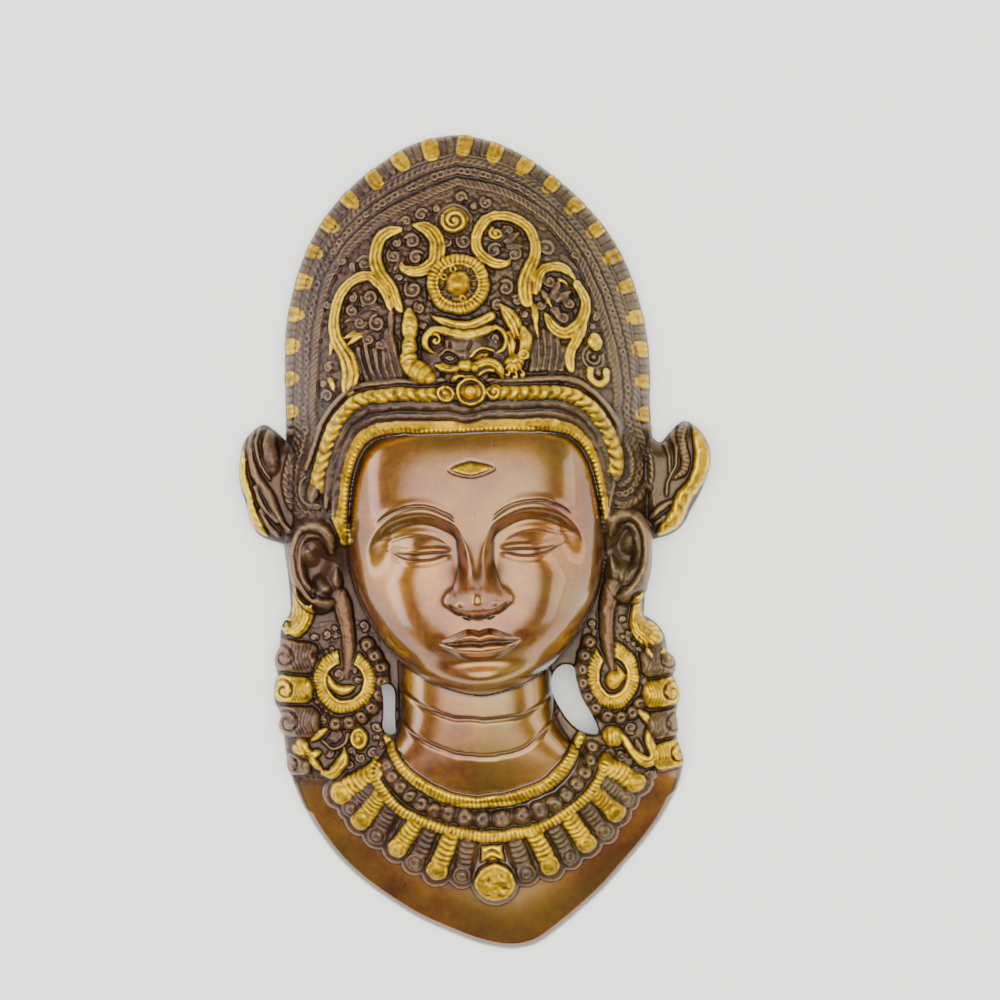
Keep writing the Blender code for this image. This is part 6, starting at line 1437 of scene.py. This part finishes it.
def hollow(front, cell_size):
    """The height of the inner surface: a wall's thickness behind the front, measured squarely."""
    step_x, step_y = cell_size
    reach_x = int(WALL_THICKNESS / step_x)
    reach_y = int(WALL_THICKNESS / step_y)
    inner = np.full(front.shape, FAR)
    rows, columns = front.shape
    padded = np.pad(front, ((reach_y, reach_y), (reach_x, reach_x)), constant_values=NOTHING)
    for i in range(-reach_y, reach_y + 1):
        for j in range(-reach_x, reach_x + 1):
            off = (i * step_y) ** 2 + (j * step_x) ** 2
            if off > WALL_THICKNESS ** 2:
                continue
            part = padded[reach_y + i:reach_y + i + rows, reach_x + j:reach_x + j + columns]
            np.minimum(inner, part - sqrt(WALL_THICKNESS ** 2 - off), out=inner)
    return np.maximum(inner, 0)


class Casting:
    """The whole mask as maps of real heights, from which each piece is cut."""

    def __init__(self):
        wax = Relief(CELL)
        broad_forms(wax)
        ornament(wax)
        plan = outline(EDGE_STEP)
        low, high = plan.min(0), plan.max(0)
        self.middle = (low + high) / 2
        size = high - low
        top = (wax.base + wax.rise).max()
        self.scale = np.array([MASK_WIDTH / size[0], MASK_LENGTH / size[1], MASK_DEPTH / top])
        away = wax.edge.copy()
        for gap in (LEFT_GAP, RIGHT_GAP):
            at, near, _, _ = wax.near(flow(gap, 1, closed=True), 4)
            away[at] = np.minimum(away[at], near)
        depth = np.clip(EDGE_ROUNDING - away, 0, EDGE_ROUNDING)
        drop = EDGE_ROUNDING - np.sqrt(EDGE_ROUNDING ** 2 - depth ** 2)
        height = np.maximum(wax.base + wax.rise, EDGE_ROUNDING + 0.8)
        self.front = (height - drop) * self.scale[2]
        broad = (wax.base + np.minimum(wax.rise, 0)) * self.scale[2]
        broad = np.where(inside(plan, wax.x, wax.y), broad, NOTHING)
        self.back = hollow(broad, (CELL * self.scale[0], CELL * self.scale[1]))
        self.wax = wax
        self.marks = {
            "gilding": wax.gilt, "polish": blurred(wax.shine, 2.2) - 0.7 * (1 - ease(away, 0.8, 3.6)),
            "recess": self.front - blurred(self.front, 2.6) + 2 - 2 * ease(away, 0.5, 4),
            "ridge": self.front - blurred(self.front, 0.8), }

    def read(self, values, points):
        """Values of a map at loose points, between its cells."""
        u = (points[:, 0] - self.wax.x[0]) / CELL
        v = (points[:, 1] - self.wax.y[0]) / CELL
        j = np.clip(u.astype(int), 0, values.shape[1] - 2)
        i = np.clip(v.astype(int), 0, values.shape[0] - 2)
        a, b = u - j, v - i
        return (values[i, j] * (1 - a) * (1 - b) + values[i, j + 1] * a * (1 - b)
                + values[i + 1, j] * (1 - a) * b + values[i + 1, j + 1] * a * b)

    def spots(self, loops, every, clear):
        """The map's own places within a piece, one in so many, and clear of its edge."""
        wax = self.wax
        chosen = inside(loops[0][:, :2], wax.x, wax.y)
        for hole in loops[1:]:
            chosen &= ~inside(hole[:, :2], wax.x, wax.y)
        for loop in loops:
            closed = np.vstack([loop[:, :2], loop[:1, :2]])
            at, away, _, _ = wax.near(closed, clear + CELL)
            chosen[at] &= away > clear
        kept = np.zeros(chosen.shape, bool)
        kept[::every, ::every] = chosen[::every, ::every]
        rows, columns = np.nonzero(kept)
        return np.stack([wax.x[columns], wax.y[rows]], 1)

    def real(self, plan, height):
        """Points in metres from the drawing's plan and real heights."""
        flat = (plan - self.middle) * self.scale[:2]
        return np.column_stack([flat, height]) / 1000


def sheet(loops, spots):
    """Triangles over the plan between the closed loops, through loose spots."""
    points = np.vstack([loop[:, :2] for loop in loops] + [spots])
    edges = []
    start = 0
    for loop in loops:
        count = len(loop)
        edges += [(start + k, start + (k + 1) % count) for k in range(count)]
        start += count
    _, _, faces, origins, _, _ = delaunay_2d_cdt([Vector(p) for p in points], edges, [], 1, 1e-7)
    back = np.array([group[0] for group in origins])
    faces = back[np.array(faces)]
    a, b, c = (points[faces[:, k]] for k in range(3))
    turn = (b[:, 0] - a[:, 0]) * (c[:, 1] - a[:, 1]) - (b[:, 1] - a[:, 1]) * (c[:, 0] - a[:, 0])
    faces = np.where(turn[:, None] < 0, faces[:, ::-1], faces)
    middle = (a + b + c) / 3
    keep = np.ones(len(faces), bool)
    for loop in loops[1:]:
        keep &= ~within(loop[:, :2], middle)
    return points, faces[keep]


def within(loop, points):
    """Which points lie inside a closed loop."""
    low, high = loop.min(0), loop.max(0)
    maybe = np.flatnonzero(((points > low) & (points < high)).all(1))
    x, y = points[maybe].T
    hits = np.zeros(len(maybe), int)
    for a, b in zip(loop, np.roll(loop, -1, axis=0)):
        crosses = (a[1] > y) != (b[1] > y)
        if crosses.any():
            cut = a[0] + (y - a[1]) / (b[1] - a[1] + 1e-30) * (b[0] - a[0])
            hits += crosses & (x < cut)
    found = np.zeros(len(points), bool)
    found[maybe] = hits % 2 == 1
    return found


def cut_piece(casting, name, loops, finishes):
    """One closed piece of the casting: front, back and the walls round its edge."""
    front_plan, front_faces = sheet(loops, casting.spots(loops, 1, CELL * 0.6))
    back_plan, back_faces = sheet(loops, casting.spots(loops, BACK_EVERY, CELL * 2))
    front_z = casting.read(casting.front, front_plan)
    back_z = casting.read(casting.back, back_plan)
    kind = np.concatenate([loop[:, 2] for loop in loops])
    edge = slice(0, len(kind))
    back_z[edge] = np.minimum(back_z[edge], front_z[edge] - 1.2)
    behind = np.minimum(back_z[edge], front_z[edge] - WALL_THICKNESS + EDGE_ROUNDING)
    back_z[edge] = np.where(kind == OPENING, behind, back_z[edge])
    back_z[edge] = np.where(kind == RIM, 0, np.maximum(back_z[edge], 0))
    front_z[edge] = np.maximum(front_z[edge], 0.5)
    points = np.vstack([casting.real(front_plan, front_z), casting.real(back_plan, back_z)])
    count = len(front_plan)
    faces = [front_faces, back_faces[:, ::-1] + count]
    ridge = []
    start = 0
    for k, loop in enumerate(loops):
        a = start + np.arange(len(loop))
        b = np.roll(a, -1)
        x, y = loop[:, 0], loop[:, 1]
        if (np.sum(x * np.roll(y, -1) - y * np.roll(x, -1)) < 0) != (k > 0):
            a, b = b, a
        faces += [np.column_stack([a + count, b + count, b]), np.column_stack([a + count, b, a])]
        open_edge = (kind[a] > 0) & (kind[b] > 0)
        ridge += [np.column_stack([a, b])[~open_edge], np.column_stack([a, b]) + count]
        start += len(loop)
    walls = sum(len(part) for part in faces[2:])
    faces = np.vstack(faces)

    mesh = bpy.data.meshes.new(name)
    mesh.from_pydata(points.tolist(), [], faces.tolist())
    blank = np.zeros(len(back_plan))
    for mark, values in casting.marks.items():
        on_front = casting.read(values, front_plan)
        mesh.attributes.new(mark, "FLOAT", "POINT").data.foreach_set(
            "value", np.concatenate([on_front, blank]).astype(np.float32))
    polish = casting.read(casting.wax.shine, front_plan)
    shown = np.zeros(len(faces), np.int32)
    shown[:len(front_faces)] = np.where(polish[front_faces].mean(1) > 0.5, 1, 0)
    shown[len(front_faces):] = 2
    shown[len(faces) - walls:] = 0
    mesh.polygons.foreach_set("material_index", shown)
    mesh.polygons.foreach_set("use_smooth", np.ones(len(faces), bool))
    for finish in finishes:
        mesh.materials.append(finish)
    mesh.update()
    ends = np.empty(len(mesh.edges) * 2, np.int32)
    mesh.edges.foreach_get("vertices", ends)
    ends = np.sort(ends.reshape(-1, 2), axis=1)
    total = len(points)
    hard = np.sort(np.vstack(ridge), axis=1)
    sharp = np.isin(ends[:, 0].astype(np.int64) * total + ends[:, 1], hard[:, 0] * total + hard[:, 1])
    mesh.attributes.new("sharp_edge", "BOOLEAN", "EDGE").data.foreach_set("value", sharp)

    piece = bpy.data.objects.new(name, mesh)
    bpy.context.scene.collection.objects.link(piece)
    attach(piece, "root")
    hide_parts("mask")


def linear(code):
    """A colour written as six sRGB hex digits, as the shaders need it."""
    parts = [int(code[i:i + 2], 16) / 255.0 for i in (0, 2, 4)]
    return tuple(p / 12.92 if p < 0.04045 else ((p + 0.055) / 1.055) ** 2.4 for p in parts) + (1.0,)


# Kinds of node that are used again and again, and their settings
NOISE = "ShaderNodeTexNoise"
MATH = "ShaderNodeMath"
RANGE = "ShaderNodeMapRange"
MIX = "ShaderNodeMix"
MARK = "ShaderNodeAttribute"
SMOOTH = {"interpolation_type": "SMOOTHSTEP"}
OVERLAY = {"data_type": "RGBA"}
ADD_SHARE = {"operation": "MULTIPLY_ADD"}


def wire(tree, node, links):
    """Gives each named input of a node another node's output, or a plain value."""
    for name, value in links.items():
        if isinstance(value, bpy.types.NodeSocket):
            tree.links.new(value, node.inputs[name])
        else:
            node.inputs[name].default_value = value


def put(tree, kind, settings=None, links=None, output=0):
    """Adds a node with its settings and links, and gives back one output."""
    made = tree.nodes.new(kind)
    for name, value in (settings or {}).items():
        setattr(made, name, value)
    wire(tree, made, links or {})
    return made.outputs[output]


def per_mm(size):
    """The scale of a pattern whose spots are so many millimetres across."""
    return 1000.0 / size


def ground(name):
    """A new material's tree, its shader and its place in metres."""
    material = bpy.data.materials.new(name)
    material.use_nodes = True
    tree = material.node_tree
    shader = next(n for n in tree.nodes if n.type == "BSDF_PRINCIPLED")
    return material, tree, shader, put(tree, "ShaderNodeTexCoord", output="Object")


def coats(tree, colour, *layers):
    """Colours laid one over another, and how thickly the last of them lies.

    Each coat has a source, the values of it where the coat starts and is full,
    how much the full coat covers, and its colour.
    """
    for source, start, full, most, tint in layers:
        share = put(tree, RANGE, SMOOTH,
                    {"Value": source, "From Min": start, "From Max": full, "To Max": most})
        colour = put(tree, MIX, OVERLAY, {"Factor": share, "A": colour, "B": linear(tint)}, "Result")
    return colour, share


def patinated_bronze():
    """Cast bronze, chemically browned, with gold paint on the raised ornament.

    The patina is a dull purplish brown, more olive to the right, that goes nearly
    black in the recesses with dirt and painted shade, and rubs to pale bare metal
    on the ridges. The paint is a satin gold that is patchy at its edges, darkened
    in the hollows by the same dirt and painted shade, and given a painted highlight
    on whatever sticks up.
    """
    material, tree, shader, place = ground("patinated_bronze_with_gold_paint")
    gilding, recess, ridge, polish = (put(tree, MARK, {"attribute_name": name}, output="Fac")
                                      for name in ("gilding", "recess", "ridge", "polish"))
    # The grain of the casting is about 0.3 mm, and drawn coarser so that it shows
    mottle, patches, grain = (
        put(tree, NOISE, None, {"Vector": place, "Scale": per_mm(size), "Detail": detail,
                                "Roughness": rough}, "Fac")
        for size, detail, rough in ((13, 5, 0.62), (4, 4, 0.66), (1.1, 3, 0.6)))
    across = put(tree, "ShaderNodeSeparateXYZ", None, {0: place}, "X")
    across = put(tree, MATH, ADD_SHARE, {0: mottle, 1: 0.08, 2: across})
    side = put(tree, RANGE, SMOOTH, {"Value": across, "From Min": 0, "From Max": 0.085})
    left, _ = coats(tree, linear("2E1A10"), (mottle, 0.36, 0.66, 1, "4C301C"))
    right, _ = coats(tree, linear("34260F"), (mottle, 0.36, 0.66, 1, "523F1E"))
    brown = put(tree, MIX, OVERLAY, {"Factor": side, "A": left, "B": right}, "Result")
    # Ridges rub bare, and the ears' lobes are wiped clean, down to reddish metal
    rubbed = put(tree, MATH, ADD_SHARE, {0: grain, 1: 0.4, 2: ridge})
    rubbed = put(tree, MATH, ADD_SHARE, {0: recess, 1: 0.09, 2: rubbed})
    brown, wiped = coats(tree, brown, (rubbed, 0.28, 0.80, 0.7, "846846"),
                         (polish, 0.15, 0.4, 0.8, "64401F"))
    # Paint misses the hollows and breaks up in patches at its edges
    uneven = gilding
    for source, weight in ((grain, 0.3), (patches, 0.8), (ridge, 0.7)):
        uneven = put(tree, MATH, ADD_SHARE, {0: source, 1: weight, 2: uneven})
    painted = put(tree, RANGE, SMOOTH, {"Value": uneven, "From Min": 1.20, "From Max": 1.36})
    meant = put(tree, RANGE, SMOOTH, {"Value": gilding, "From Min": 0.3, "From Max": 0.6})
    painted = put(tree, MATH, {"operation": "MULTIPLY"}, {0: painted, 1: meant})
    # It is deeper in some places and grimy in patches, and ridges get a painted highlight
    yellow, _ = coats(tree, linear("8E6A02"), (mottle, 0.34, 0.68, 1, "C29806"),
                      (ridge, 0.06, 0.45, 0.8, "ECC838"), (patches, 0.54, 0.36, 0.65, "6C4C0A"))
    colour = put(tree, MIX, OVERLAY, {"Factor": painted, "A": brown, "B": yellow}, "Result")
    # A dark wash lies in the engraving, and dirt together with painted shade darkens the hollows
    dirt_and_shade = put(tree, MATH, ADD_SHARE, {0: mottle, 1: 1, 2: recess})
    colour, dirt_and_shade = coats(tree, colour, (ridge, -0.05, -0.36, 0.85, "24150B"),
                         (dirt_and_shade, -0.3, -3, 0.5, "2A1B15"))
    metal = put(tree, MATH, ADD_SHARE, {0: painted, 1: 0.4, 2: 0.45})
    rough = 0.24
    for source, weight in ((grain, 0.2), (painted, 0.1), (wiped, -0.14), (dirt_and_shade, 0.2)):
        rough = put(tree, MATH, ADD_SHARE, {0: source, 1: weight, 2: rough})
    bump = put(tree, "ShaderNodeBump", None, {"Strength": 0.5, "Distance": 0.0003, "Height": grain})
    wire(tree, shader, {"Base Color": colour, "Metallic": metal, "Roughness": rough, "Normal": bump})
    return material


def lacquered_bronze():
    """Bronze polished smooth, then sprayed with clear gloss lacquer.

    The metal under it is a warm orange brown with olive and rosy clouds, a few
    casting pits and fine polishing marks, dark wax left in the lines, wax with
    painted shade in the hollows round the ornament, and patina that creeps in
    from the ornament. The lacquer gives it soft, pale reflections of what stands
    round it.
    """
    material, tree, shader, place = ground("lacquered_polished_bronze")
    recess, ridge, polish = (put(tree, MARK, {"attribute_name": name}, output="Fac")
                             for name in ("recess", "ridge", "polish"))
    # The polishing marks are finer than 0.1 mm, and drawn coarser so that they show
    cloud, marks = (put(tree, NOISE, None, {"Vector": place, "Scale": per_mm(size), "Detail": 5,
                                            "Roughness": rough}, "Fac")
                    for size, rough in ((38, 0.58), (2.4, 0.6)))
    hue = put(tree, NOISE, None, {"Vector": place, "Scale": per_mm(60), "Detail": 3,
                                  "Distortion": 0.6}, "Fac")
    pits = put(tree, "ShaderNodeTexVoronoi", {"feature": "F1"},
               {"Vector": place, "Scale": per_mm(9), "Randomness": 1}, "Distance")
    tone = put(tree, MATH, ADD_SHARE, {0: marks, 1: 0.18, 2: cloud})
    worn = put(tree, MATH, ADD_SHARE, {0: marks, 1: 0.3, 2: polish})
    colour, worn = coats(tree, linear("6E3A08"), (tone, 0.44, 0.76, 1, "9E661A"),
                         (hue, 0.42, 0.64, 0.55, "80681A"), (worn, 1.12, 0.55, 0.85, "46301F"))
    # Wax and painted shade in the hollows and round the ornament, wax in the lines, and the dark of the
    # pits
    colour, pit = coats(tree, colour, (recess, -0.5, -2.6, 0.6, "341D0D"),
                        (ridge, -0.12, -0.34, 0.7, "2C1607"), (pits, 0.06, 0.03, 1, "2C1B0F"))
    rough = put(tree, MATH, ADD_SHARE, {0: marks, 1: 0.14, 2: 0.26})
    rough = put(tree, MATH, ADD_SHARE, {0: worn, 1: 0.14, 2: rough})
    uneven = put(tree, MATH, ADD_SHARE, {0: pit, 1: -0.6, 2: marks})
    bump = put(tree, "ShaderNodeBump", None, {"Strength": 0.16, "Distance": 0.0003, "Height": uneven})
    wire(tree, shader, {"Base Color": colour, "Metallic": 0.9, "Roughness": rough, "Normal": bump,
                        "Coat Weight": 1, "Coat Roughness": 0.13, "Coat IOR": 1.6})
    return material


def rough_cast_bronze():
    """The inside as it left the mould: dull, dark and sandy, with greenish stains."""
    material, tree, shader, place = ground("rough_cast_bronze")
    # The sand's grain is about 0.3 mm, and drawn coarser so that it shows
    stain, sand = (put(tree, NOISE, None, {"Vector": place, "Scale": per_mm(size), "Detail": detail,
                                           "Roughness": rough}, "Fac")
                   for size, detail, rough in ((26, 5, 0.6), (1.6, 4, 0.7)))
    colour, _ = coats(tree, linear("3A2A20"), (stain, 0.35, 0.65, 1, "584631"),
                      (stain, 0.60, 0.78, 0.5, "4A5440"), (sand, 0.40, 0.75, 0.6, "6C573E"))
    rough = put(tree, MATH, ADD_SHARE, {0: sand, 1: 0.25, 2: 0.42})
    bump = put(tree, "ShaderNodeBump", None, {"Strength": 0.8, "Distance": 0.0006, "Height": sand})
    wire(tree, shader, {"Base Color": colour, "Metallic": 0.75, "Roughness": rough, "Normal": bump})
    return material


def white_paper():
    """Matt paper with a barely seen unevenness, under the mask."""
    material, tree, shader, place = ground("matt_white_paper")
    cloud = put(tree, NOISE, None, {"Vector": place, "Scale": per_mm(300), "Detail": 2}, "Fac")
    colour = put(tree, MIX, OVERLAY,
                 {"Factor": cloud, "A": linear("F3F3F1"), "B": linear("F7F7F5")}, "Result")
    wire(tree, shader, {"Base Color": colour, "Roughness": 0.9})
    return material


def lay_floor():
    mesh = bpy.data.meshes.new("floor")
    mesh.from_pydata([(-3, -3, 0), (3, -3, 0), (3, 3, 0), (-3, 3, 0)], [], [(0, 1, 2, 3)])
    mesh.materials.append(white_paper())
    floor = bpy.data.objects.new("floor", mesh)
    bpy.context.scene.collection.objects.link(floor)
    floor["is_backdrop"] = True


def set_lamp(name, place, aim, wide, high, power, colour):
    """A soft box of a given width and height, in metres."""
    light = bpy.data.lights.new(name, "AREA")
    light.shape = "RECTANGLE"
    light.size = wide
    light.size_y = high
    light.energy = power
    light.color = linear(colour)[:3]
    lamp = bpy.data.objects.new(name, light)
    lamp.location = place
    lamp.rotation_euler = (Vector(aim) - Vector(place)).to_track_quat("-Z", "Y").to_euler()
    bpy.context.scene.collection.objects.link(lamp)


def light_the_room():
    """A room with a pale ceiling, darker walls and a dim near end, and two low soft boxes."""
    world = bpy.data.worlds.new("room")
    bpy.context.scene.world = world
    world.use_nodes = True
    tree = world.node_tree
    sky = next(n for n in tree.nodes if n.type == "BACKGROUND")
    way = put(tree, "ShaderNodeTexCoord", output="Generated")
    up = put(tree, "ShaderNodeSeparateXYZ", None, {0: way}, "Z")
    far = put(tree, "ShaderNodeSeparateXYZ", None, {0: way}, "Y")
    colour, _ = coats(tree, linear("8C8A86"), (up, 0.06, 0.20, 1, "464441"),
                      (up, 0.56, 0.84, 1, "F8F8F6"), (far, -0.1, -0.7, 0.6, "383634"))
    wire(tree, sky, {"Color": colour, "Strength": 5.2})
    set_lamp("window_left", (-1.2, 0.2, 0.18), (-0.02, 0, 0.05), 1.6, 0.34, 9, "F4F8FF")
    set_lamp("window_right", (1.25, 0, 0.30), (0.02, 0, 0.05), 1.2, 0.40, 5, "FFFCF4")


def set_camera():
    """Straight over the mask, turned slightly, as in the photograph."""
    data = bpy.data.cameras.new("camera")
    data.sensor_width = SENSOR_WIDTH
    data.lens = CAMERA_LENS
    camera = bpy.data.objects.new("camera", data)
    camera.location = CAMERA_PLACE
    camera.rotation_euler = (0, 0, CAMERA_TURN)
    bpy.context.scene.collection.objects.link(camera)
    bpy.context.scene.camera = camera


def write_sizes(solid_box):
    """Gathers both boxes, of the solids and of what is shown."""
    sizes = {"cad": solid_box, "visual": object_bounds()}
    sizes = {name: [[float(value) for value in corner] for corner in box] for name, box in sizes.items()}


casting = Casting()
finishes = [patinated_bronze(), lacquered_bronze(), rough_cast_bronze()]
for name, loops in piece_edges().items():
    cut_piece(casting, name, loops, finishes)
lay_floor()
light_the_room()
set_camera()
write_sizes(solid_box)
